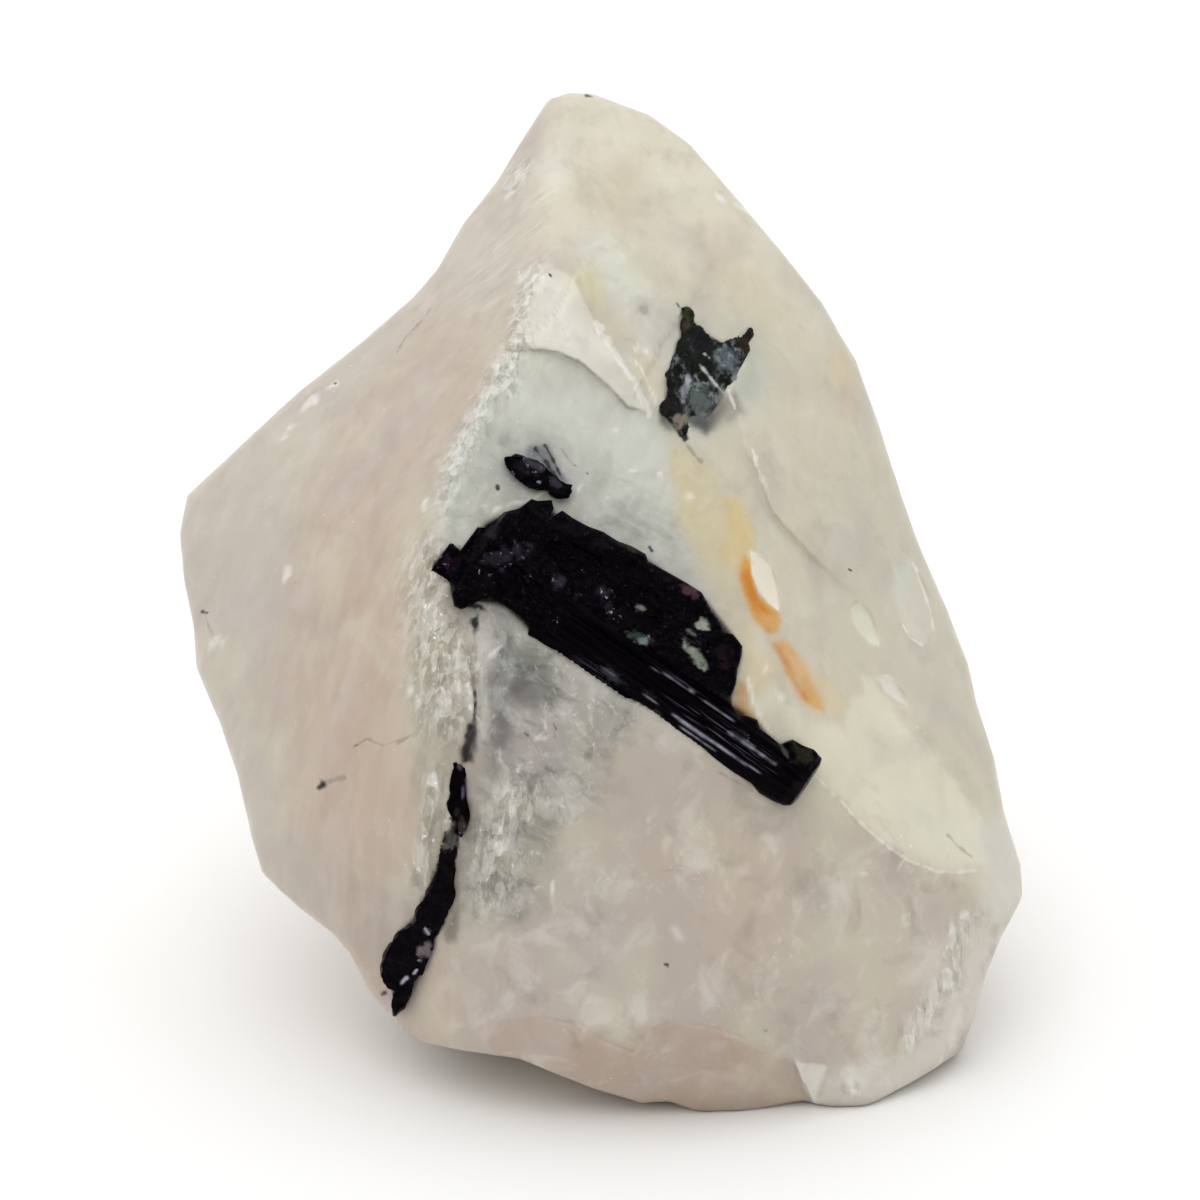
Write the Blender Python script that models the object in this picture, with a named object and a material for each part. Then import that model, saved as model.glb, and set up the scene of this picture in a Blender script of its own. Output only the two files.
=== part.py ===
"""Rough rose quartz with black tourmaline: one broken lump of pink quartz that stands on a small
flat spot, with crystals of black tourmaline (schorl) grown into its front.

The stone is designed as it is seen: a point is given by where it shows in the front view, in
picture units of PIXEL each, and by its depth, in metres towards the viewer. The view looks down on
the stone by VIEW_TILT. The finished part has +Z up, the front at -Y, and its origin in the middle
of the footprint at the height of the flat spot.
"""

import math

import bmesh
import bpy
import numpy as np
from mathutils import Matrix, Vector, noise

MM = 0.001

# Driving dimensions
STONE_HEIGHT_IN_VIEW = 81.5 * MM
VIEW_TILT = math.radians(25.0)
FOOTPRINT_CENTRE = Vector((-0.02, 24.96, 0.0)) * MM
SOCKET_GAP = 0.3 * MM
QUARTZ_TRIANGLES = 7000

# A place deep inside the lump, in millimetres right, up and towards the viewer
HEART = (1, 40, -17)

# Where the stone's top and bottom show in the front view, and its middle from side to side
TOP_PIXEL = 91.0
BOTTOM_PIXEL = 1109.0
MIDDLE_PIXEL = 600.0
PIXEL = STONE_HEIGHT_IN_VIEW / (BOTTOM_PIXEL - TOP_PIXEL)

# The silhouette, from the tip round the right side, the foot and the left side
OUTLINE = [
    (548, 97), (570, 91), (592, 91), (650, 112), (690, 142), (725, 184), (772, 240), (823, 300),
    (858, 358), (879, 420), (903, 495), (919, 540), (948, 606), (971, 664), (978, 700), (997, 760),
    (1006, 812), (1022, 866), (1023, 897), (1000, 935), (985, 975), (975, 1015), (962, 1050),
    (909, 1080), (862, 1105), (835, 1108), (802, 1097), (770, 1103), (740, 1109), (700, 1108),
    (668, 1095), (640, 1097), (595, 1083), (560, 1069), (520, 1052), (470, 1045), (425, 1037),
    (399, 1020), (371, 988), (352, 950), (335, 930), (296, 900), (264, 872), (252, 835),
    (238, 775), (220, 722), (196, 668), (192, 628), (181, 580), (177, 532), (185, 494),
    (234, 450), (299, 390), (365, 337), (412, 297), (437, 267), (463, 222), (497, 180),
    (522, 138),
]

# Broken faces of the front: a point on the face in the view, its depth in millimetres, and how
# many millimetres the face comes forward for each one to the right and each one up. The faces of
# the left and of the right run softly into each other
LEFT_FACES = {
    "upper": (540, 300, 3.6, 0.95, -0.82),
    "middle": (430, 600, 9.6, 0.95, -0.10),
    "lower": (400, 800, 9.0, 0.76, 0.50),
}
RIGHT_FACES = {
    "crown": (560, 300, 3.6, -0.30, -0.70),
    "middle": (850, 830, 4.9, -0.73, -0.34),
    "rim": (890, 600, -3.8, -1.40, -0.52),
}
FRONT_FACES = {
    "centre": (520, 520, 8.0, -0.20, -0.25),
    "front": (640, 760, 9.5, -0.05, 0.10),
    "front_right": (850, 830, 4.5, -0.54, 0.20),
    "front_low_left": (560, 960, 8.2, 0.28, 0.45),
    "corner_right": (950, 960, 1.0, -1.60, 0.74),
    "under_front": (650, 1018, 7.4, -0.06, 1.05),
}
ROUNDED_RIDGE_SOFTNESS = 1.5 * MM
FRONT_RIDGE_SOFTNESS = 0.35 * MM

# Broken faces of the back: the way each faces, and a point on it, in millimetres from the middle
# of the front edge of the foot
BACK_FACES = {
    "middle": ((0.10, 1.0, 0.05), (0, 52, 24)),
    "right": ((0.80, 0.62, 0.22), (30, 38, 26)),
    "left": ((-0.72, 0.66, 0.16), (-26, 46.5, 35)),
    "top": ((0.0, 0.85, 0.50), (0, 52, 63)),
    "crown": ((0.55, 0.50, 0.66), (14, 46, 62)),
    "middle_left": ((-0.35, 0.92, 0.12), (-10, 51, 26)),
    "side_left": ((-0.90, 0.42, -0.10), (-31, 40, 18)),
    "side_right": ((0.96, 0.22, -0.12), (32, 34, 8)),
    "low_left": ((-0.60, 0.72, -0.34), (-14, 47, 12)),
    "low_right": ((0.45, 0.80, -0.35), (18, 46, 12)),
    "foot_left": ((-0.80, 0.10, -0.60), (-25, 26, 4)),
    "foot_right": ((0.78, 0.15, -0.60), (34, 22, 7)),
    "foot_back": ((0.10, 0.80, -0.60), (4, 47, 4)),
}
BACK_RIDGE_SOFTNESS = 0.35 * MM

# Shallow scoops where a flake has come off the back: the face it is on, a place on that face, the
# radius of the scoop and how deep it bites, in millimetres
SCARS = [
    ("middle", (21, 52, 42), 24, 1.8),
    ("middle", (-9, 52, 40), 34, 1.1),
    ("middle", (3, 52, 15), 20, 1.5),
    ("left", (-22, 48, 46), 20, 1.5),
    ("middle_left", (-16, 50, 26), 18, 1.2),
    ("right", (27, 40, 14), 17, 1.7),
    ("right", (24, 42, 40), 26, 1.1),
    ("top", (7, 52, 61), 18, 1.2),
    ("low_right", (20, 44, 8), 15, 1.2),
]

# The side walls are widest a little behind the front's rim and draw in behind that
WALL_WIDEST_BEHIND_RIM = 3.0 * MM
WALL_DRAW_IN = 0.36
WALL_ROUNDING = 8.0 * MM

# Ledges where the front broke in steps: the path in the view, the step's height, and how far the
# raised side takes to die away; the raised side is on the right as the path runs
LEDGES = {
    "pale_slab": ([(652, 420), (630, 411), (605, 384), (564, 361), (510, 349)], 1.0 * MM, 9.0 * MM),
    "pale_slab_side": ([(652, 418), (616, 363), (590, 322), (566, 276)], -0.8 * MM, 6.0 * MM),
    "right_slab": (
        [(842, 742), (800, 690), (766, 615), (750, 560), (735, 510), (693, 459), (668, 405)],
        1.1 * MM,
        9.0 * MM,
    ),
    "upper_slab": (
        [(885, 615), (830, 563), (790, 520), (765, 480), (746, 440), (728, 392)],
        1.1 * MM,
        9.0 * MM,
    ),
    "split_edge": ([(466, 610), (477, 700), (474, 770), (455, 850), (415, 940)], 1.2 * MM, 5.0 * MM),
}
LEDGE_SLOPE_WIDTH = 0.8 * MM
LEDGES_END_BEHIND = 8 * MM

# Low swellings of the broken surface
SWELL_HEIGHT = 0.7 * MM
SWELL_LENGTH = 12.0 * MM
SWELL_LEFT_AT_RIM = 0.25
RIM_WIDTH = 2.0 * MM

# The big crystal lies along the front: where its lower edge starts and ends in the view, the depth
# of its crest there, and its section as (distance up from that edge, depth behind the crest)
MAIN_START = (500, 602, 11.0)
MAIN_END = (792, 803, 10.0)
MAIN_SECTION = [
    (-2.2, -6.5), (-2.2, -1.3), (-0.1, -1.0), (0.3, -0.7), (0.6, -0.75), (0.9, -0.35), (1.2, -0.4),
    (1.5, -0.1), (1.9, -0.15), (2.2, 0.0), (2.7, -0.1), (3.0, 0.0), (3.5, -0.2), (3.8, -0.9),
    (4.3, -1.1), (4.7, -0.8), (6.0, -0.9), (6.3, -1.4), (7.6, -1.5), (8.0, -2.1), (9.4, -2.2),
    (9.9, -2.8), (11.6, -3.1), (13.6, -4.2), (13.6, -6.5),
]
MAIN_REACH_PAST_START = 9 * MM
MAIN_REACH_PAST_END = 4 * MM
OUTLINE_CUT_DEPTH = 80 * MM

# Outlines of the black crystals in the view
MAIN_OUTLINE = [
    (435, 569), (452, 547), (472, 555), (477, 538), (486, 521), (524, 510), (554, 503), (577, 523),
    (616, 543), (644, 555), (652, 567), (675, 577), (705, 600), (717, 622), (739, 647), (733, 672),
    (727, 700), (736, 714), (753, 724), (781, 748), (808, 769), (804, 784), (792, 801), (776, 800),
    (748, 779), (714, 756), (672, 726), (636, 699), (622, 698), (588, 675), (546, 642), (518, 614),
    (494, 597), (468, 608), (457, 594), (441, 577),
]
END_CRYSTAL_OUTLINE = [(776, 748), (788, 737), (808, 745), (816, 756), (814, 769), (797, 774)]
SPLINTER_OUTLINE = [
    (508, 468), (513, 461), (532, 465), (560, 484), (573, 489), (567, 496), (550, 491), (530, 488),
]
LOWER_BLADE_OUTLINE = [
    (446, 840), (460, 841), (458, 888), (442, 926), (427, 967), (414, 990), (397, 1010), (394, 1000),
    (398, 983), (384, 969), (386, 955), (403, 925), (421, 903), (441, 868),
]
UPPER_BLADE_OUTLINE = [(459, 759), (465, 761), (468, 783), (468, 808), (456, 804), (455, 774)]
PLATE_OUTLINE = [
    (681, 312), (693, 316), (693, 326), (710, 341), (724, 346), (738, 335), (750, 331), (748, 352),
    (742, 373), (726, 388), (712, 404), (686, 402), (672, 412), (659, 411), (668, 392), (667, 370),
    (676, 348), (680, 330),
]

# How each small crystal lies: a point on its face in the view, its depth in millimetres, how many
# millimetres it comes forward for each one right and each one up, and its thickness
END_CRYSTAL_FACE = (797, 755, 9.6, 0.10, 0.25, 4.0)
SPLINTER_FACE = (540, 478, 7.4, -0.20, -0.25, 3.0)
LOWER_BLADE_FACE = (450, 860, 10.8, 0.20, 0.66, 4.2)
UPPER_BLADE_FACE = (461, 785, 10.8, 0.20, 0.10, 2.6)
PLATE_FACE = (705, 365, 0.6, -0.73, -0.34, 3.0)


def view_axes():
    """The view's right, up and towards-the-viewer directions in the part's frame."""
    up = Vector((0, math.sin(VIEW_TILT), math.cos(VIEW_TILT)))
    towards = Vector((0, -math.cos(VIEW_TILT), math.sin(VIEW_TILT)))
    return Vector((1, 0, 0)), up, towards


def view_matrix():
    """Takes a point in the view's own axes to the part's frame."""
    rows = Matrix((view_axes())).transposed().to_4x4()
    return Matrix.Translation(-FOOTPRINT_CENTRE) @ rows


def in_view(pixel_x, pixel_y, depth=0.0):
    """A point of the view in its own axes, in metres: right of the middle, up from the foot, depth."""
    across = (pixel_x - MIDDLE_PIXEL) * PIXEL
    up = (BOTTOM_PIXEL - pixel_y) * PIXEL
    return Vector((across, up, depth))


def path_in_view(pixels):
    return np.array([in_view(*pixel)[:2] for pixel in pixels])


def soft_maximum(values, softness):
    """The largest of several arrays, rounded off where two are nearly equal."""
    values = np.stack(values)
    peak = values.max(axis=0)
    return peak + softness * np.log(np.exp((values - peak) / softness).sum(axis=0))


def distance_to_path(points, path, closed):
    """(distance, share along the path, side) from each point to the nearest place on a path.
    The side is positive on the right as the path runs."""
    ends = np.roll(path, -1, axis=0) if closed else path[1:]
    starts = path if closed else path[:-1]
    run = ends - starts
    offset = points[:, None, :] - starts[None]
    share = np.clip((offset * run).sum(-1) / (run * run).sum(-1), 0.0, 1.0)
    gap = offset - share[..., None] * run
    distance = np.hypot(gap[..., 0], gap[..., 1])
    nearest = distance.argmin(axis=1)
    rows = np.arange(len(points))
    side = run[nearest, 1] * offset[rows, nearest, 0] - run[nearest, 0] * offset[rows, nearest, 1]
    lengths = np.hypot(run[:, 0], run[:, 1])
    before = np.concatenate([[0.0], np.cumsum(lengths)[:-1]])
    along = before[nearest] + share[rows, nearest] * lengths[nearest]
    return distance[rows, nearest], along / lengths.sum(), np.sign(side)


def outside_outline(points):
    """How far each point of the view lies outside the silhouette; negative inside it."""
    outline = path_in_view(OUTLINE)
    distance, _, _ = distance_to_path(points, outline, closed=True)
    ends = np.roll(outline, -1, axis=0)
    above = outline[:, 1] > points[:, 1:2]
    crosses = above != (ends[:, 1] > points[:, 1:2])
    slope = (ends[:, 0] - outline[:, 0]) / (ends[:, 1] - outline[:, 1] + 1e-12)
    meets = outline[:, 0] + (points[:, 1:2] - outline[:, 1]) * slope
    inside = (crosses & (points[:, 0:1] < meets)).sum(axis=1) % 2 == 1
    return np.where(inside, -distance, distance)


def face_depths(points, faces):
    """Depth of each of several flat faces at each point of the view."""
    depths = []
    for pixel_x, pixel_y, depth, slope_right, slope_up in faces.values():
        offset = points - np.array(in_view(pixel_x, pixel_y))[:2]
        depths.append(depth * MM + offset @ np.array((slope_right, slope_up)))
    return depths


def front_depth(points):
    """Depth of the front's broken faces at each point of the view, without the ledges."""
    terms = [-depth for depth in face_depths(points, FRONT_FACES)]
    for faces in (LEFT_FACES, RIGHT_FACES):
        depths = face_depths(points, faces)
        terms.append(soft_maximum([-depth for depth in depths], ROUNDED_RIDGE_SOFTNESS))
    return -soft_maximum(terms, FRONT_RIDGE_SOFTNESS)


def outside_stone(points):
    """Positive outside the stone and negative inside, for points in the view's own axes."""
    flat = points[:, :2]
    front = front_depth(flat)
    behind = front - WALL_WIDEST_BEHIND_RIM - points[:, 2]
    draw_in = WALL_DRAW_IN * (np.hypot(behind, WALL_ROUNDING) - WALL_ROUNDING)
    terms = [points[:, 2] - front, outside_outline(flat) + draw_in]
    axes = np.array(view_axes())
    placed = points @ axes
    for facing, place in BACK_FACES.values():
        normal = np.array(Vector(facing).normalized())
        terms.append((placed - np.array(place) * MM) @ normal)
    for face, place, radius, depth in SCARS:
        facing, face_place = BACK_FACES[face]
        normal = np.array(Vector(facing).normalized())
        off_face = (np.array(place) - np.array(face_place)) @ normal
        middle = np.array(place) + normal * (radius - depth - off_face)
        terms.append(radius * MM - np.linalg.norm(placed - middle * MM, axis=1))
    return soft_maximum(terms, BACK_RIDGE_SOFTNESS)


def ledge_rise(points):
    """How far the ledges bring the front forward at each point of the view."""
    rise = np.zeros(len(points))
    for pixels, height, fade in LEDGES.values():
        distance, along, side = distance_to_path(points, path_in_view(pixels), closed=False)
        from_edge = distance * side
        step = 1 / (1 + np.exp(np.clip(-4 * from_edge / LEDGE_SLOPE_WIDTH, -60, 60)))
        ends = np.sin(math.pi * np.clip(along, 0.0, 1.0))
        rise += height * step * np.exp(-((distance / fade) ** 2)) * ends
    return rise


def swell(points):
    """A gentle unevenness of the broken surface."""
    return np.array([noise.noise(Vector(point) / SWELL_LENGTH) for point in points]) * SWELL_HEIGHT


def out_to_surface(directions, centre):
    """Where a ray from the centre along each direction first leaves the stone."""
    step = 1.5 * MM
    inner = np.zeros(len(directions))
    outer = np.full(len(directions), step)
    going = np.ones(len(directions), bool)
    while going.any():
        still_in = outside_stone(centre + directions[going] * outer[going, None]) < 0
        moving = np.flatnonzero(going)[still_in]
        inner[moving] = outer[moving]
        outer[moving] += step
        going[:] = False
        going[moving] = True
    for _ in range(16):
        middle = (inner + outer) / 2
        is_in = outside_stone(centre + directions * middle[:, None]) < 0
        inner = np.where(is_in, middle, inner)
        outer = np.where(is_in, outer, middle)
    return centre + directions * inner[:, None]


def quartz_mesh():
    """The whole lump as a closed mesh in the part's frame, still round at the foot."""
    shape = bmesh.new()
    bmesh.ops.create_icosphere(shape, subdivisions=7, radius=1.0)
    directions = np.array([vertex.co[:] for vertex in shape.verts])
    directions /= np.linalg.norm(directions, axis=1)[:, None]
    centre = np.array(HEART) * MM
    points = out_to_surface(directions, centre)
    facing_front = np.clip((points[:, 2] - centre[2]) / LEDGES_END_BEHIND, 0.0, 1.0)
    points[:, 2] += ledge_rise(points[:, :2]) * facing_front
    share = 1 - (1 - SWELL_LEFT_AT_RIM) * rim_share(points)
    points += directions * (swell(points) * share)[:, None]
    placing = view_matrix()
    for vertex, point in zip(shape.verts, points):
        vertex.co = placing @ Vector(point)
    mesh = bpy.data.meshes.new("rose_quartz")
    shape.to_mesh(mesh)
    shape.free()
    return mesh


def grown_path(path, amount):
    """A closed path moved outwards by an amount all round."""
    path = np.array(path, float)
    run = np.roll(path, -1, axis=0) - path
    outward = np.stack([run[:, 1], -run[:, 0]], axis=1) / np.hypot(run[:, 0], run[:, 1])[:, None]
    corner = outward + np.roll(outward, 1, axis=0)
    corner *= 2 / (corner * corner).sum(axis=1)[:, None].clip(0.5)
    area = (path[:, 0] * np.roll(path[:, 1], -1) - path[:, 1] * np.roll(path[:, 0], -1)).sum()
    return path + corner * amount * np.sign(area)


def outline_solid(name, path, thickness):
    """A flat solid with a closed path as its outline, half its thickness to each side of z = 0."""
    curve = bpy.data.curves.new(name, "CURVE")
    curve.dimensions = "2D"
    curve.fill_mode = "BOTH"
    curve.extrude = thickness / 2
    spline = curve.splines.new("POLY")
    spline.points.add(len(path) - 1)
    for point, (x, y) in zip(spline.points, path):
        point.co = (x, y, 0, 1)
    spline.use_cyclic_u = True
    holder = bpy.data.objects.new(name, curve)
    bpy.context.scene.collection.objects.link(holder)
    mesh = evaluated_mesh(holder)
    bpy.data.objects.remove(holder)
    shape = bmesh.new()
    shape.from_mesh(mesh)
    bmesh.ops.remove_doubles(shape, verts=shape.verts[:], dist=0.001 * MM)
    bmesh.ops.recalc_face_normals(shape, faces=shape.faces[:])
    shape.to_mesh(mesh)
    shape.free()
    mesh.shade_flat()
    return mesh


def flat_crystal(name, outline, face, grow=0.0):
    """A flat crystal with an outline of the view, running straight back from a tilted face."""
    pixel_x, pixel_y, depth, slope_right, slope_up, thickness = face
    mesh = outline_solid(name, grown_path(path_in_view(outline), grow), thickness * MM + 2 * grow)
    middle = in_view(pixel_x, pixel_y)
    tilt = Matrix.Identity(4)
    tilt[2][0] = slope_right
    tilt[2][1] = slope_up
    tilt[2][3] = (depth - thickness / 2) * MM - slope_right * middle.x - slope_up * middle.y
    mesh.transform(tilt)
    return mesh


def crystal_bar(name, grow=0.0):
    """The big crystal's ribbed length, longer than it shows at both ends."""
    start = in_view(*MAIN_START[:2], MAIN_START[2] * MM)
    end = in_view(*MAIN_END[:2], MAIN_END[2] * MM)
    along = (end - start).normalized()
    across = Vector((-along.y, along.x, 0)).normalized()
    outward = along.cross(across)
    first = start - along * MAIN_REACH_PAST_START
    last = end + along * MAIN_REACH_PAST_END
    mesh = outline_solid(name, grown_path(np.array(MAIN_SECTION) * MM, grow), (last - first).length)
    placing = Matrix((across, outward, along)).transposed().to_4x4()
    mesh.transform(Matrix.Translation((first + last) / 2) @ placing)
    return mesh


def rim_share(points):
    """1 at the silhouette and 0 from RIM_WIDTH inside it."""
    return np.clip(1 + outside_outline(points[:, :2]) / RIM_WIDTH, 0.0, 1.0)


def finish_material(name, colour, roughness):
    material = bpy.data.materials.new(name)
    material.use_nodes = True
    shader = material.node_tree.nodes["Principled BSDF"]
    shader.inputs["Base Color"].default_value = (*colour, 1.0)
    shader.inputs["Roughness"].default_value = roughness
    shader.inputs["Metallic"].default_value = 0.0
    material.diffuse_color = (*colour, 1.0)
    return material


def add_to(collection, name, mesh, material=None):
    thing = bpy.data.objects.new(name, mesh)
    collection.objects.link(thing)
    if material:
        mesh.materials.append(material)
    return thing


def evaluated_mesh(thing):
    bpy.context.view_layer.update()
    graph = bpy.context.evaluated_depsgraph_get()
    return bpy.data.meshes.new_from_object(thing.evaluated_get(graph))


def cut_flat_foot(mesh):
    """Cuts the lump off level at the height of the flat spot."""
    shape = bmesh.new()
    shape.from_mesh(mesh)
    everything = shape.verts[:] + shape.edges[:] + shape.faces[:]
    cut = bmesh.ops.bisect_plane(
        shape, geom=everything, plane_co=(0, 0, 0), plane_no=(0, 0, -1), clear_outer=True
    )
    edges = [item for item in cut["geom_cut"] if isinstance(item, bmesh.types.BMEdge)]
    bmesh.ops.contextual_create(shape, geom=edges)
    bmesh.ops.recalc_face_normals(shape, faces=shape.faces[:])
    shape.to_mesh(mesh)
    shape.free()


def make_quartz(collection, material, sockets):
    whole = add_to(collection, "lump", quartz_mesh())
    fewer = whole.modifiers.new("fewer triangles", "DECIMATE")
    fewer.ratio = QUARTZ_TRIANGLES / len(whole.data.polygons)
    mesh = evaluated_mesh(whole)
    bpy.data.objects.remove(whole)
    cut_flat_foot(mesh)
    stone = add_to(collection, "rose_quartz", mesh, material)
    for socket in sockets:
        combine(stone, socket, "DIFFERENCE")
    return stone


def combine(thing, other, operation):
    """Joins, cuts or keeps the overlap of two solids in the first, and removes the second."""
    step = thing.modifiers.new("combine", "BOOLEAN")
    step.operation = operation
    step.solver = "EXACT"
    step.object = other
    mesh = evaluated_mesh(thing)
    thing.modifiers.clear()
    old = thing.data
    thing.data = mesh
    mesh.name = old.name
    bpy.data.meshes.remove(old)
    bpy.data.objects.remove(other)


def make_main_crystal(collection, name, material, grow=0.0):
    """The big crystal: its ribbed length cut to its outline, with the small one on its end."""
    crystal = add_to(collection, name, crystal_bar(name, grow), material)
    outline = grown_path(path_in_view(MAIN_OUTLINE), grow)
    column = outline_solid("outline", outline, OUTLINE_CUT_DEPTH)
    combine(crystal, add_to(collection, "outline", column), "INTERSECT")
    small = flat_crystal("end_crystal", END_CRYSTAL_OUTLINE, END_CRYSTAL_FACE, grow)
    combine(crystal, add_to(collection, "end_crystal", small), "UNION")
    crystal.data.transform(view_matrix())
    return crystal


def make_flat_crystal(collection, name, outline, face, material, grow=0.0):
    crystal = add_to(collection, name, flat_crystal(name, outline, face, grow), material)
    crystal.data.transform(view_matrix())
    return crystal


FLAT_CRYSTALS = {
    "schorl_splinter": (SPLINTER_OUTLINE, SPLINTER_FACE),
    "schorl_lower_blade": (LOWER_BLADE_OUTLINE, LOWER_BLADE_FACE),
    "schorl_upper_blade": (UPPER_BLADE_OUTLINE, UPPER_BLADE_FACE),
    "schorl_plate": (PLATE_OUTLINE, PLATE_FACE),
}


def main():
    for thing in list(bpy.data.objects):
        bpy.data.objects.remove(thing)
    stone = bpy.data.collections.new("rough_rose_quartz")
    bpy.context.scene.collection.children.link(stone)
    quartz_pink = finish_material("rose_quartz", (0.58, 0.50, 0.42), 0.45)
    schorl_black = finish_material("schorl", (0.010, 0.007, 0.013), 0.25)
    make_main_crystal(stone, "schorl_main_crystal", schorl_black)
    sockets = [make_main_crystal(stone, "main_socket", None, SOCKET_GAP)]
    for name, (outline, face) in FLAT_CRYSTALS.items():
        make_flat_crystal(stone, name, outline, face, schorl_black)
        sockets.append(make_flat_crystal(stone, "socket", outline, face, None, SOCKET_GAP))
    make_quartz(stone, quartz_pink, sockets)


main()
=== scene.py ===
import math

import bmesh
import bpy
import numpy as np
from mathutils import Matrix, Vector, noise


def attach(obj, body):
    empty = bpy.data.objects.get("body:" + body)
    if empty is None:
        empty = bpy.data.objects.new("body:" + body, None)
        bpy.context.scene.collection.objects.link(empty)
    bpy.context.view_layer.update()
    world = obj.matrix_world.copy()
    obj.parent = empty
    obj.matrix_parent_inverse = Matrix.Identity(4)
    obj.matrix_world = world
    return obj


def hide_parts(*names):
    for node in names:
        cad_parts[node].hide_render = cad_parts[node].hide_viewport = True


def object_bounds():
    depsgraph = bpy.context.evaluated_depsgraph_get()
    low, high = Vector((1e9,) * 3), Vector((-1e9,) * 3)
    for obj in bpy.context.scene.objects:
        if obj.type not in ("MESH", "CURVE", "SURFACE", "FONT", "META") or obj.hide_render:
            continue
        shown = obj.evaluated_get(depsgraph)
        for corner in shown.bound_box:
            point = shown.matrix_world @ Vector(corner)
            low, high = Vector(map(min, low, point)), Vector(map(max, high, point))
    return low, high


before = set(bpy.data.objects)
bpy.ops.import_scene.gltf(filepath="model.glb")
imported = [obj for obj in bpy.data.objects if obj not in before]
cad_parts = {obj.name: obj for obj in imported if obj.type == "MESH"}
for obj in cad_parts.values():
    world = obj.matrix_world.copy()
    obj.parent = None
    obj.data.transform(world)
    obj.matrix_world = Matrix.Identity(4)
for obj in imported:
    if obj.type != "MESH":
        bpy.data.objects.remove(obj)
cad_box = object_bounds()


# The rose quartz
# One broken lump of milky pink quartz, solid right through. It has no crystal faces of its own: it
# was broken out of the rock along a few flat cracks, and stands on the smallest of them.

MM = 0.001
VIEW_TILT = math.radians(25.0)
FOOTPRINT_CENTRE = np.array((-0.02, 24.96, 0.0))
PIXEL = 81.5 / (1109.0 - 91.0)
FOOT_PIXEL = 1109.0
MIDDLE_PIXEL = 600.0
QUARTZ_HEART = np.array((1.0, 40.0, -14.0))
QUARTZ_GRID = 66

# The silhouette in the photograph's pixels, from the tip round the right side and the foot
QUARTZ_OUTLINE = [
    (548, 97), (570, 91), (592, 91), (650, 112), (690, 142), (725, 184), (772, 240), (823, 300),
    (858, 358), (879, 420), (903, 495), (919, 540), (948, 606), (971, 664), (978, 700), (997, 760),
    (1006, 812), (1022, 866), (1023, 897), (1000, 935), (985, 975), (975, 1015), (962, 1050),
    (909, 1080), (862, 1105), (835, 1108), (802, 1097), (770, 1103), (740, 1109), (700, 1108),
    (668, 1095), (640, 1097), (595, 1083), (560, 1069), (520, 1052), (470, 1045), (425, 1037),
    (399, 1020), (371, 988), (352, 950), (335, 930), (296, 900), (264, 872), (252, 835),
    (238, 775), (220, 722), (196, 668), (192, 628), (181, 580), (177, 532), (185, 494),
    (234, 450), (299, 390), (365, 337), (412, 297), (437, 267), (463, 222), (497, 180),
    (522, 138),
]

# Each broken face of the front: a pixel on it, its depth there in millimetres, and how many
# millimetres it comes forward for each one right and each one up
LEFT_FACES = [
    (540, 300, 3.6, 0.95, -0.82),
    (430, 600, 9.6, 0.95, -0.10),
    (400, 800, 9.0, 0.76, 0.50),
]
RIGHT_FACES = [
    (560, 300, 3.6, -0.30, -0.70),
    (850, 830, 4.9, -0.73, -0.34),
    (890, 600, -3.8, -1.40, -0.52),
]
CENTRE_FACE = (520, 520, 8.0, -0.20, -0.25)
LOW_FRONT_FACES = [
    (640, 760, 9.5, -0.05, 0.10),
    (850, 830, 4.5, -0.54, 0.20),
    (560, 960, 8.2, 0.28, 0.45),
    (950, 960, 1.0, -1.60, 0.74),
]
UNDER_FRONT_FACE = (650, 1018, 7.4, -0.06, 1.05)

# Each broken face of the back and the foot: the way it faces, and a point on it in millimetres
BACK_FACES = [
    ((0.10, 1.0, 0.05), (0, 52, 24)),
    ((0.80, 0.62, 0.22), (30, 38, 26)),
    ((-0.72, 0.66, 0.16), (-26, 46.5, 35)),
    ((0.0, 0.85, 0.50), (0, 52, 63)),
    ((0.55, 0.50, 0.66), (14, 46, 62)),
    ((-0.35, 0.92, 0.12), (-10, 51, 26)),
    ((-0.90, 0.42, -0.10), (-31, 40, 18)),
    ((0.96, 0.22, -0.12), (32, 34, 8)),
    ((-0.60, 0.72, -0.34), (-14, 47, 12)),
    ((0.45, 0.80, -0.35), (18, 46, 12)),
    ((-0.80, 0.10, -0.60), (-25, 26, 4)),
    ((0.78, 0.15, -0.60), (34, 22, 7)),
    ((0.10, 0.80, -0.60), (4, 47, 4)),
]

# Scoops where flakes have come off the back: which back face, a place on it, radius and depth
BACK_SCARS = [
    (0, (21, 52, 42), 24, 1.8),
    (0, (-9, 52, 40), 34, 1.1),
    (0, (3, 52, 15), 20, 1.5),
    (2, (-22, 48, 46), 20, 1.5),
    (5, (-16, 50, 26), 18, 1.2),
    (1, (27, 40, 14), 17, 1.7),
    (1, (24, 42, 40), 26, 1.1),
    (3, (7, 52, 61), 18, 1.2),
    (9, (20, 44, 8), 15, 1.2),
]

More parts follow.
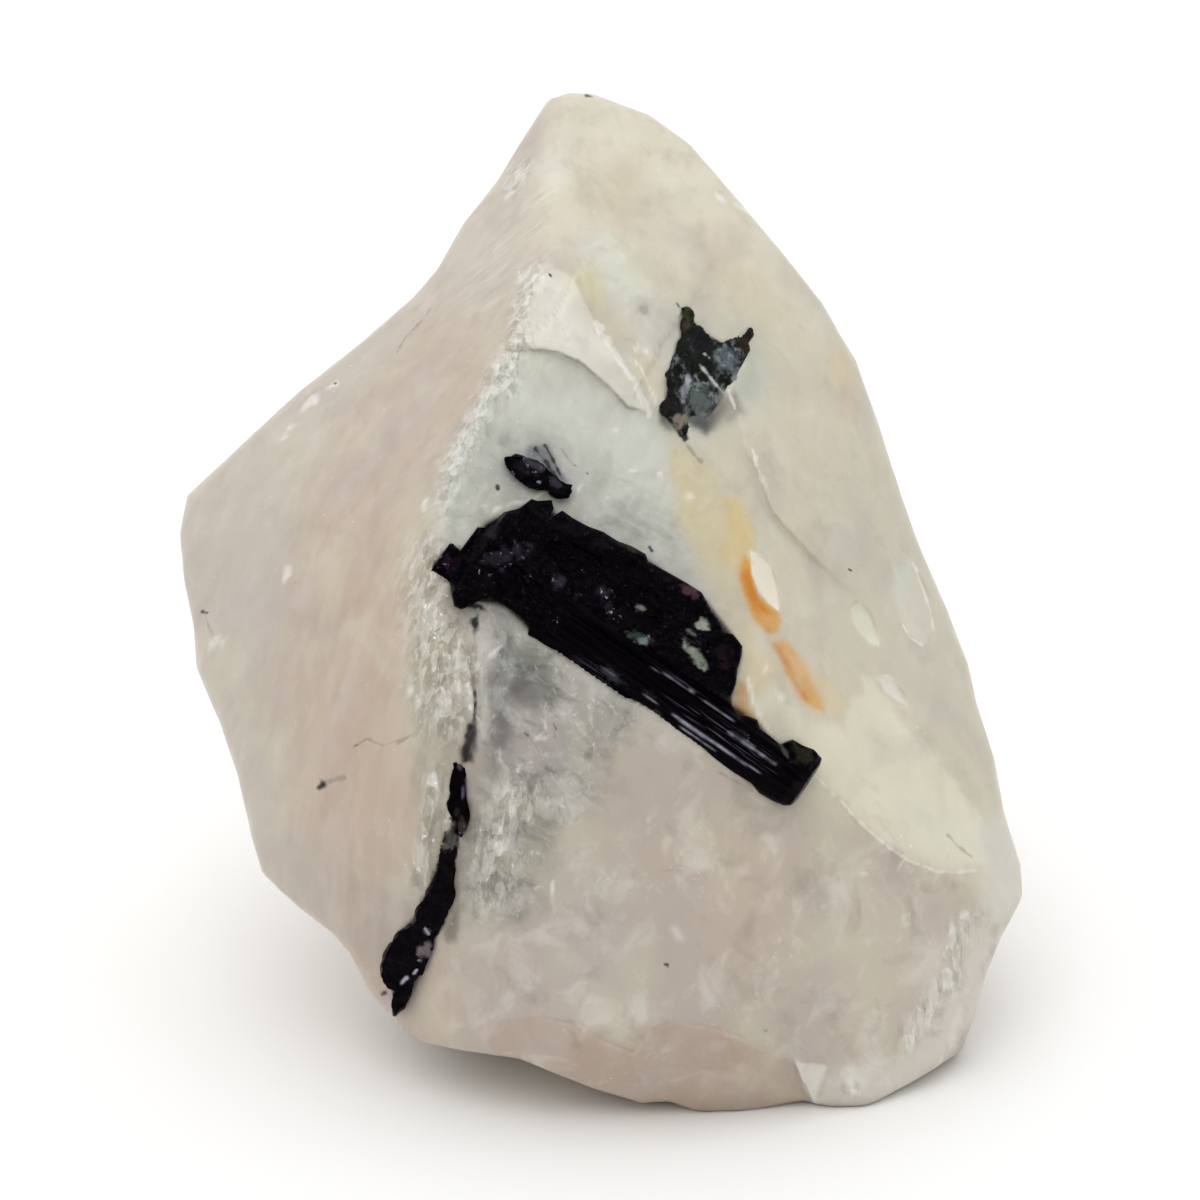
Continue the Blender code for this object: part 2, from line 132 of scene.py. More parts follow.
# Steps in the broken front: the pixels of the edge, the step's height, how wide its slope is and
# how far the raised side takes to die away, in millimetres. The raised side is to the right as the
# edge runs
FLAKE_LOW_EDGE = [
    (652, 418), (645, 414), (628, 410), (616, 398), (600, 382), (580, 366), (560, 357), (544, 354),
    (530, 354), (522, 342), (520, 334),
]
FLAKE_HIGH_EDGE = [(648, 416), (645, 410), (636, 388), (616, 360), (596, 328), (574, 286), (552, 274)]
LOBE_EDGE = [
    (800, 762), (816, 777), (836, 797), (853, 816), (877, 838), (904, 857), (935, 870), (958, 871),
    (986, 869),
]
STAIN_EDGE = [
    (834, 736), (810, 704), (790, 672), (770, 640), (760, 620), (750, 590), (742, 556), (734, 525),
    (727, 492), (712, 470), (697, 457), (683, 445), (672, 424),
]
SLAB_EDGE = [
    (872, 606), (845, 584), (823, 566), (804, 547), (785, 528), (772, 515), (766, 502), (761, 479),
    (748, 458), (738, 432), (732, 402),
]
UPPER_SLAB_EDGE = [
    (846, 580), (828, 556), (810, 540), (794, 514), (782, 490), (770, 471), (750, 441), (737, 410),
]
LEFT_CRACK = [
    (464, 604), (470, 640), (478, 684), (478, 720), (468, 750), (464, 800), (452, 850), (428, 910),
]
UNDER_EDGE = [
    (480, 1012), (540, 1008), (580, 1016), (604, 1030), (632, 1043), (644, 1028), (656, 1018),
    (680, 1016), (712, 1022), (740, 1032), (752, 1041), (760, 1044), (792, 1056), (806, 1062),
]
FOOT_CHIP_EDGE = [(790, 1052), (793, 1060), (798, 1072), (802, 1083), (808, 1100)]
SHOULDER_EDGE = [(830, 636), (856, 664), (880, 690), (903, 714), (934, 748), (968, 796), (992, 832)]
FRONT_STEPS = [
    (FLAKE_LOW_EDGE, 0.9, 0.20, 8.0),
    (FLAKE_HIGH_EDGE, -0.7, 0.30, 6.0),
    (STAIN_EDGE, 0.4, 0.90, 6.0),
    (SLAB_EDGE, 0.9, 0.45, 8.0),
    (UPPER_SLAB_EDGE, 0.25, 0.50, 3.0),
    (LEFT_CRACK, 1.1, 0.50, 5.0),
    (LOBE_EDGE, -0.5, 0.35, 6.0),
    (UNDER_EDGE, 0.5, 0.25, 5.0),
    (FOOT_CHIP_EDGE, -0.7, 0.30, 3.0),
    (SHOULDER_EDGE, -0.35, 0.8, 5.0),
]

# Shell-shaped chips: a pixel in the middle, half-sizes in pixels, turn in degrees and depth in
# millimetres
FRONT_CHIPS = [
    (761, 583, 12, 29, -22, 0.45),
    (866, 624, 11, 25, -24, 0.45),
    (916, 604, 17, 43, -20, 0.50),
    (891, 692, 9, 19, -42, 0.45),
    (814, 1076, 13, 24, 18, 0.50),
    (306, 412, 12, 42, 48, 0.20),
]

# Ridges crushed to a white, sugary band: the pixels of the ridge and half the band's width
CRUSHED_RIDGES = [
    ([(508, 196), (518, 176), (530, 160)], 9),
    ([(548, 262), (534, 280), (524, 310), (520, 345), (504, 376), (478, 420), (456, 470),
      (444, 520)], 13),
    ([(500, 404), (508, 372), (521, 345)], 15),
    ([(442, 536), (434, 580), (440, 630), (446, 680), (452, 740)], 26),
    ([(436, 760), (438, 800), (430, 850), (420, 886)], 11),
    ([(476, 640), (476, 690), (486, 740)], 12),
    ([(452, 806), (456, 824), (450, 844)], 8),
    ([(976, 905), (955, 925), (947, 980), (922, 1008), (896, 1048)], 12),
    ([(545, 800), (520, 790), (500, 830), (494, 900)], 22),
    ([(852, 1076), (846, 1092)], 10),
]

# Little dark flecks, some of them painted shade in the crack down the left ridge; the thin lines of
# cracks, some of them painted shade along the flake's low edge and under the big crystal; and thin
# white veins and the painted highlights of bright rims, with half-widths in millimetres
DARK_FLECKS_AND_CRACK_SHADE = [
    ([(202, 611), (208, 613)], 0.09),
    ([(323, 784), (327, 782)], 0.20),
    ([(360, 743), (363, 741)], 0.11),
    ([(586, 94), (591, 95)], 0.09),
    ([(664, 954), (666, 955)], 0.10),
    ([(763, 1026), (764, 1026)], 0.10),
    ([(649, 548), (651, 551)], 0.09),
    ([(573, 465), (575, 466)], 0.09),
    ([(587, 474), (588, 475)], 0.07),
    ([(499, 488), (500, 491)], 0.08),
    ([(850, 569), (852, 570)], 0.08),
    ([(335, 384), (336, 384)], 0.09),
    ([(551, 282), (552, 283)], 0.07),
    ([(675, 311), (677, 314)], 0.07),
    ([(555, 719), (558, 724)], 0.12),
    ([(527, 729), (530, 731)], 0.08),
    ([(484, 608), (480, 618), (478, 629)], 0.20),
    ([(474, 604), (484, 607)], 0.16),
    # These two lines are painted shade down the crack beside the left ridge
    ([(478, 684), (479, 700), (478, 716)], 0.08),
    ([(474, 722), (470, 738), (469, 756)], 0.14),
    ([(461, 826), (462, 838)], 0.14),
    ([(450, 826), (448, 834)], 0.14),
    ([(455, 812), (457, 815)], 0.12),
    ([(536, 452), (545, 462), (556, 478)], 0.12),
    ([(546, 447), (553, 460), (562, 480)], 0.09),
    ([(660, 412), (670, 424), (682, 440)], 0.12),
    ([(676, 414), (681, 428), (684, 442)], 0.14),
    ([(384, 990), (388, 988)], 0.10),
]
CRACKS_AND_SHADE_LINES = [
    ([(327, 782), (340, 777), (348, 774)], 0.20),
    ([(364, 741), (374, 734), (390, 741), (404, 736), (420, 730)], 0.06),
    ([(204, 611), (209, 624), (214, 634)], 0.08),
    ([(948, 835), (958, 846), (972, 857)], 0.08),
    # Painted shade along the flake's low edge
    (FLAKE_LOW_EDGE[1:9], 0.09),
    ([(683, 442), (692, 456), (700, 464)], 0.10),
    ([(432, 310), (418, 330), (408, 340), (400, 356)], 0.07),
    ([(793, 1058), (797, 1072), (805, 1085), (809, 1098)], 0.08),
    ([(466, 644), (474, 664), (478, 684)], 0.10),
    ([(422, 620), (425, 640), (426, 656)], 0.09),
    ([(404, 739), (418, 731)], 0.06),
    # Painted shadow under the big crystal
    ([(717, 769), (735, 779), (750, 788)], 0.07),
    ([(641, 318), (636, 320)], 0.30),
    ([(562, 450), (570, 462), (580, 470)], 0.06),
]
WHITE_VEINS_AND_HIGHLIGHTS = [
    (FLAKE_HIGH_EDGE[:5], 0.20),
    ([(743, 676), (749, 698), (758, 718), (770, 734)], 0.12),
    (LOBE_EDGE, 0.08),
    ([(716, 200), (734, 205), (748, 214)], 0.12),
    ([(904, 625), (911, 637), (923, 646)], 0.08),
    ([(914, 563), (920, 580), (927, 596), (933, 616), (935, 630)], 0.07),
    ([(635, 353), (645, 357), (655, 365)], 0.10),
    ([(626, 360), (640, 373), (649, 390), (656, 408)], 0.09),
    ([(697, 350), (712, 372), (726, 396), (732, 412)], 0.09),
    ([(751, 452), (758, 474), (764, 492)], 0.13),
    ([(472, 681), (475, 692), (476, 704)], 0.16),
    ([(463, 640), (460, 668), (462, 690)], 0.12),
    ([(492, 655), (501, 646)], 0.16),
    ([(437, 770), (436, 778)], 0.16),
    ([(330, 388), (337, 385)], 0.20),
    ([(535, 500), (545, 493), (552, 492)], 0.10),
    ([(496, 512), (510, 507), (526, 504)], 0.12),
    ([(554, 874), (553, 890), (556, 902)], 0.09),
    ([(430, 468), (444, 462), (450, 456)], 0.07),
]

# Small painted highlights where a flat flake sends the light back: a pixel in the middle, half-sizes in
# pixels and turn in degrees
BRIGHT_FLAKES = [
    (310, 404, 4, 12, 48), (289, 431, 3, 9, 30), (289, 573, 3, 9, 10), (218, 640, 7, 6, 0),
    (427, 507, 4, 5, 0), (418, 688, 3, 6, 10),
    (428, 690, 3, 8, 15), (443, 694, 2, 5, 0), (473, 696, 2, 6, 0), (541, 733, 4, 3, 0),
    (548, 735, 2, 3, 0), (530, 813, 3, 4, 30), (535, 818, 3, 3, 0), (511, 786, 4, 4, 20),
    (502, 848, 2, 6, 20), (497, 861, 2, 4, 0), (547, 800, 4, 4, 0), (521, 345, 4, 5, 0),
    (543, 284, 4, 3, 0), (505, 402, 3, 4, 0), (498, 401, 2, 3, 0), (607, 498, 3, 3, 0),
    (580, 488, 2, 4, 20), (775, 695, 6, 6, 0), (762, 666, 4, 8, -20), (848, 1084, 4, 6, 0),
    (852, 1078, 2, 3, 0), (950, 930, 3, 8, 20), (946, 984, 3, 6, 20), (937, 1000, 3, 5, 30),
    (961, 915, 4, 4, 0), (668, 985, 4, 3, 20), (676, 924, 7, 3, 25), (760, 850, 3, 7, 0),
    (424, 862, 2, 4, 0), (436, 540, 3, 6, 0),
    (660, 474, 3, 3, 0), (632, 470, 4, 2, 0), (616, 430, 3, 2, 0), (690, 498, 4, 3, 0),
    (857, 870, 2, 4, 0), (520, 175, 4, 8, 40), (508, 196, 3, 6, 40),
]


def as_seen(pixel_x, pixel_y, depth=0.0):
    """Millimetres right of the photograph's middle, up from the stone's foot, and towards it."""
    return np.array(((pixel_x - MIDDLE_PIXEL) * PIXEL, (FOOT_PIXEL - pixel_y) * PIXEL, depth))


def path_as_seen(pixels):
    return np.array([as_seen(*pixel)[:2] for pixel in pixels])


VIEW_UP = np.array((0.0, math.sin(VIEW_TILT), math.cos(VIEW_TILT)))
VIEW_TOWARDS = np.array((0.0, -math.cos(VIEW_TILT), math.sin(VIEW_TILT)))
VIEW_AXES = np.array(((1.0, 0.0, 0.0), VIEW_UP, VIEW_TOWARDS))


def in_the_frame(points):
    """Points as seen, in millimetres, as metres in the part's own frame."""
    return (points @ VIEW_AXES - FOOTPRINT_CENTRE) * MM


def soft_highest(values, softness):
    values = np.stack(values)
    peak = values.max(axis=0)
    return peak + softness * np.log(np.exp((values - peak) / softness).sum(axis=0))


def near_path(points, path, closed=False):
    """(distance, share along, side) to the nearest place on a path; side 1 is its right."""
    starts = path if closed else path[:-1]
    run = (np.roll(path, -1, axis=0) if closed else path[1:]) - starts
    best = np.full(len(points), np.inf)
    along = np.zeros(len(points))
    side = np.zeros(len(points))
    lengths = np.hypot(run[:, 0], run[:, 1])
    before = np.concatenate([[0.0], np.cumsum(lengths)])
    for number, (start, step) in enumerate(zip(starts, run)):
        offset = points - start
        share = np.clip(offset @ step / (step @ step), 0.0, 1.0)
        gap = np.hypot(offset[:, 0] - share * step[0], offset[:, 1] - share * step[1])
        closer = gap < best
        best[closer] = gap[closer]
        along[closer] = (before[number] + share[closer] * lengths[number]) / before[-1]
        turned = step[1] * offset[closer, 0] - step[0] * offset[closer, 1]
        side[closer] = np.sign(turned)
    return best, along, side


def outside(points, pixels):
    """Millimetres outside a closed outline of pixels; negative inside it."""
    outline = path_as_seen(pixels)
    distance, _, _ = near_path(points, outline, closed=True)
    inside = np.zeros(len(points), bool)
    for (x0, y0), (x1, y1) in zip(outline, np.roll(outline, -1, axis=0)):
        spans = (y0 > points[:, 1]) != (y1 > points[:, 1])
        meets = x0 + (points[:, 1] - y0) * (x1 - x0) / (y1 - y0 + 1e-12)
        inside ^= spans & (points[:, 0] < meets)
    return np.where(inside, -distance, distance)


def face_depth(points, face):
    pixel_x, pixel_y, depth, slope_right, slope_up = face
    return depth + (points - as_seen(pixel_x, pixel_y)[:2]) @ np.array((slope_right, slope_up))


def front_groups(points):
    """Depths of the front's broken faces: left, right, centre, low front and under the front."""
    left = -soft_highest([-face_depth(points, face) for face in LEFT_FACES], 1.5)
    right = -soft_highest([-face_depth(points, face) for face in RIGHT_FACES], 1.5)
    centre = face_depth(points, CENTRE_FACE)
    low = -soft_highest([-face_depth(points, face) for face in LOW_FRONT_FACES], 0.35)
    return [left, right, centre, low, face_depth(points, UNDER_FRONT_FACE)]


def past_quartz(points):
    """Positive outside the lump and negative inside it."""
    flat = points[:, :2]
    front = -soft_highest([-depth for depth in front_groups(flat)], 0.35)
    behind = front - 3.0 - points[:, 2]
    rounded = 0.36 * (np.hypot(behind, 8.0) - 8.0)
    terms = [points[:, 2] - front, outside(flat, QUARTZ_OUTLINE) + rounded]
    placed = points @ VIEW_AXES
    normals = [np.array(facing) / np.linalg.norm(facing) for facing, _ in BACK_FACES]
    for normal, (_, place) in zip(normals, BACK_FACES):
        terms.append((placed - np.array(place)) @ normal)
    for face, place, radius, bite in BACK_SCARS:
        off_face = (np.array(place) - np.array(BACK_FACES[face][1])) @ normals[face]
        middle = np.array(place) + normals[face] * (radius - bite - off_face)
        terms.append(radius - np.linalg.norm(placed - middle, axis=1))
    return soft_highest(terms, 0.35)


def onto_quartz(directions):
    """The place on the lump's surface that lies along each direction from its heart."""
    inner = np.zeros(len(directions))
    outer = np.full(len(directions), 70.0)
    for _ in range(18):
        middle = (inner + outer) / 2
        is_in = past_quartz(QUARTZ_HEART + directions * middle[:, None]) < 0
        inner = np.where(is_in, middle, inner)
        outer = np.where(is_in, outer, middle)
    return QUARTZ_HEART + directions * inner[:, None]


def lumps(points, size, detail=0):
    """Smooth random values near 0, with bumps of a size in millimetres."""
    places = [Vector(point) for point in points / size]
    if detail:
        return np.array([noise.fractal(place, 0.9, 2.0, detail) for place in places])
    return np.array([noise.noise(place) for place in places])


def band(points, pixels, half_width):
    """1 on a line of pixels, fading to 0 half a width away, and at its ends."""
    distance, along, _ = near_path(points, path_as_seen(pixels))
    ends = np.clip(np.minimum(along, 1 - along) * 8 + 0.2, 0.0, 1.0)
    return np.clip(1 - distance / (half_width * PIXEL), 0.0, 1.0) * ends


def in_oval(points, pixel_x, pixel_y, half_x, half_y, turn):
    """0 in the middle of an oval of pixels and 1 on its edge."""
    offset = (points - as_seen(pixel_x, pixel_y)[:2]) / PIXEL
    angle = math.radians(turn)
    across = offset[:, 0] * math.cos(angle) - offset[:, 1] * math.sin(angle)
    up = offset[:, 1] * math.cos(angle) + offset[:, 0] * math.sin(angle)
    return np.hypot(across / half_x, up / half_y)


def on_front(points):
    return np.clip((points[:, 2] - QUARTZ_HEART[2] + 4) / 8, 0.0, 1.0)


# Where the crystals come out of the quartz, which sinks away under them
CRYSTAL_PLACES = [
    [(436, 562), (456, 547), (472, 552), (486, 523), (536, 504), (554, 506), (556, 514),
     (575, 521), (618, 543), (646, 558), (668, 574), (700, 594), (740, 647), (728, 700),
     (754, 718), (775, 741), (788, 737), (816, 756), (808, 770), (792, 799), (756, 788),
     (748, 779), (700, 744), (652, 709), (622, 696), (572, 662), (532, 632), (508, 606),
     (476, 603), (459, 604), (454, 588), (436, 573)],
    [(508, 462), (530, 460), (548, 472), (572, 489), (562, 499), (535, 492), (514, 477)],
    [(455, 757), (467, 758), (472, 771), (472, 800), (474, 816), (467, 834), (459, 828),
     (460, 818), (451, 806), (450, 796), (454, 788)],
    [(447, 840), (459, 842), (457, 890), (436, 934), (424, 966), (402, 1004), (386, 966),
     (404, 926), (420, 906)],
    [(682, 313), (690, 316), (691, 328), (706, 338), (724, 347), (749, 333), (745, 366), (731, 388),
     (718, 412), (704, 426), (690, 422), (676, 424), (660, 411), (667, 385), (671, 355), (681, 338)],
]


def break_surface(points, directions):
    """The lump's surface with its steps, chips, crushed ridges and gentle unevenness."""
    flat = points[:, :2]
    rise = np.zeros(len(points))
    ragged = flat + np.stack([lumps(points, 1.6, 2), lumps(points + 9.0, 1.6, 2)], axis=1) * 0.12
    for pixels, height, slope, reach in FRONT_STEPS:
        distance, along, side = near_path(ragged, path_as_seen(pixels))
        step = 1 / (1 + np.exp(np.clip(-4 * distance * side / slope, -60, 60)))
        rise += height * step * np.exp(-((distance / reach) ** 2)) * np.sin(math.pi * along)
    for pixel_x, pixel_y, half_x, half_y, turn, depth in FRONT_CHIPS:
        oval = in_oval(flat, pixel_x, pixel_y, half_x, half_y, turn)
        rise -= depth * np.clip(1 - oval**2, 0.0, 1.0) ** 0.6
    for pixels, half_width in CRUSHED_RIDGES:
        rough = np.abs(lumps(points, 0.9, 3)) * 0.35 - 0.10
        rise += band(flat, pixels, half_width * 1.3) * rough
    for pixels in CRYSTAL_PLACES:
        sunk = np.clip(-outside(flat, pixels) / 0.35 - 0.6, 0.0, 1.0)
        rise -= 1.3 * sunk
    rim = np.clip(1 + outside(flat, QUARTZ_OUTLINE) / 2.0, 0.0, 1.0)
    moved = points.copy()
    moved[:, 2] += rise * on_front(points)
    swell = lumps(points, 12.0) * 0.7 * (1 - 0.75 * rim)
    streaked = points * np.array((1.0, 0.45, 1.0))
    fine = lumps(streaked, 1.5, 3) * 0.10 * (1 - 0.6 * rim)
    return moved + directions * (swell + fine)[:, None]


def unit(vectors):
    return vectors / np.linalg.norm(vectors, axis=1)[:, None]


def split_faces(shape, chosen, cuts):
    shape.faces.ensure_lookup_table()
    edges = {edge for number in chosen for edge in shape.faces[number].edges}
    bmesh.ops.subdivide_edges(shape, edges=list(edges), cuts=cuts, use_grid_fill=True)


def face_places(shape):
    shape.faces.ensure_lookup_table()
    return onto_quartz(unit(np.array([face.calc_center_median()[:] for face in shape.faces])))


def rounded_cube(cuts):
    """A cube's grid blown up to a ball of even squares."""
    shape = bmesh.new()
    bmesh.ops.create_cube(shape, size=2.0)
    bmesh.ops.subdivide_edges(shape, edges=shape.edges[:], cuts=cuts - 1, use_grid_fill=True)
    for vertex in shape.verts:
        warped = Vector([math.tan(math.pi / 4 * value) for value in vertex.co])
        vertex.co = warped.normalized()
    return shape


def linear(hex_colour):
    """The linear colour of an sRGB hex colour."""
    channels = [int(hex_colour[place : place + 2], 16) / 255 for place in (1, 3, 5)]
    return np.array([c / 12.92 if c <= 0.04045 else ((c + 0.055) / 1.055) ** 2.4 for c in channels])


# The stone's front stands in its own shade, so its own colour is lighter than it looks there
LIGHT_ON_FRONT = 0.95


def own_colour(hex_colour):
    return np.minimum(linear(hex_colour) / LIGHT_ON_FRONT, 0.93)


# How each broken face looks, from the pinker left side to the creamy right. Besides each face's own
# colour, they hold painted light and shade: the upward faces lighter, the face turned under the front
# darker
FACE_COLOURS = ["#b9aa9a", "#cbc4b0", "#c4c4b8", "#b8ac9e", "#b3a393"]
BACK_COLOUR = "#c9bcb0"
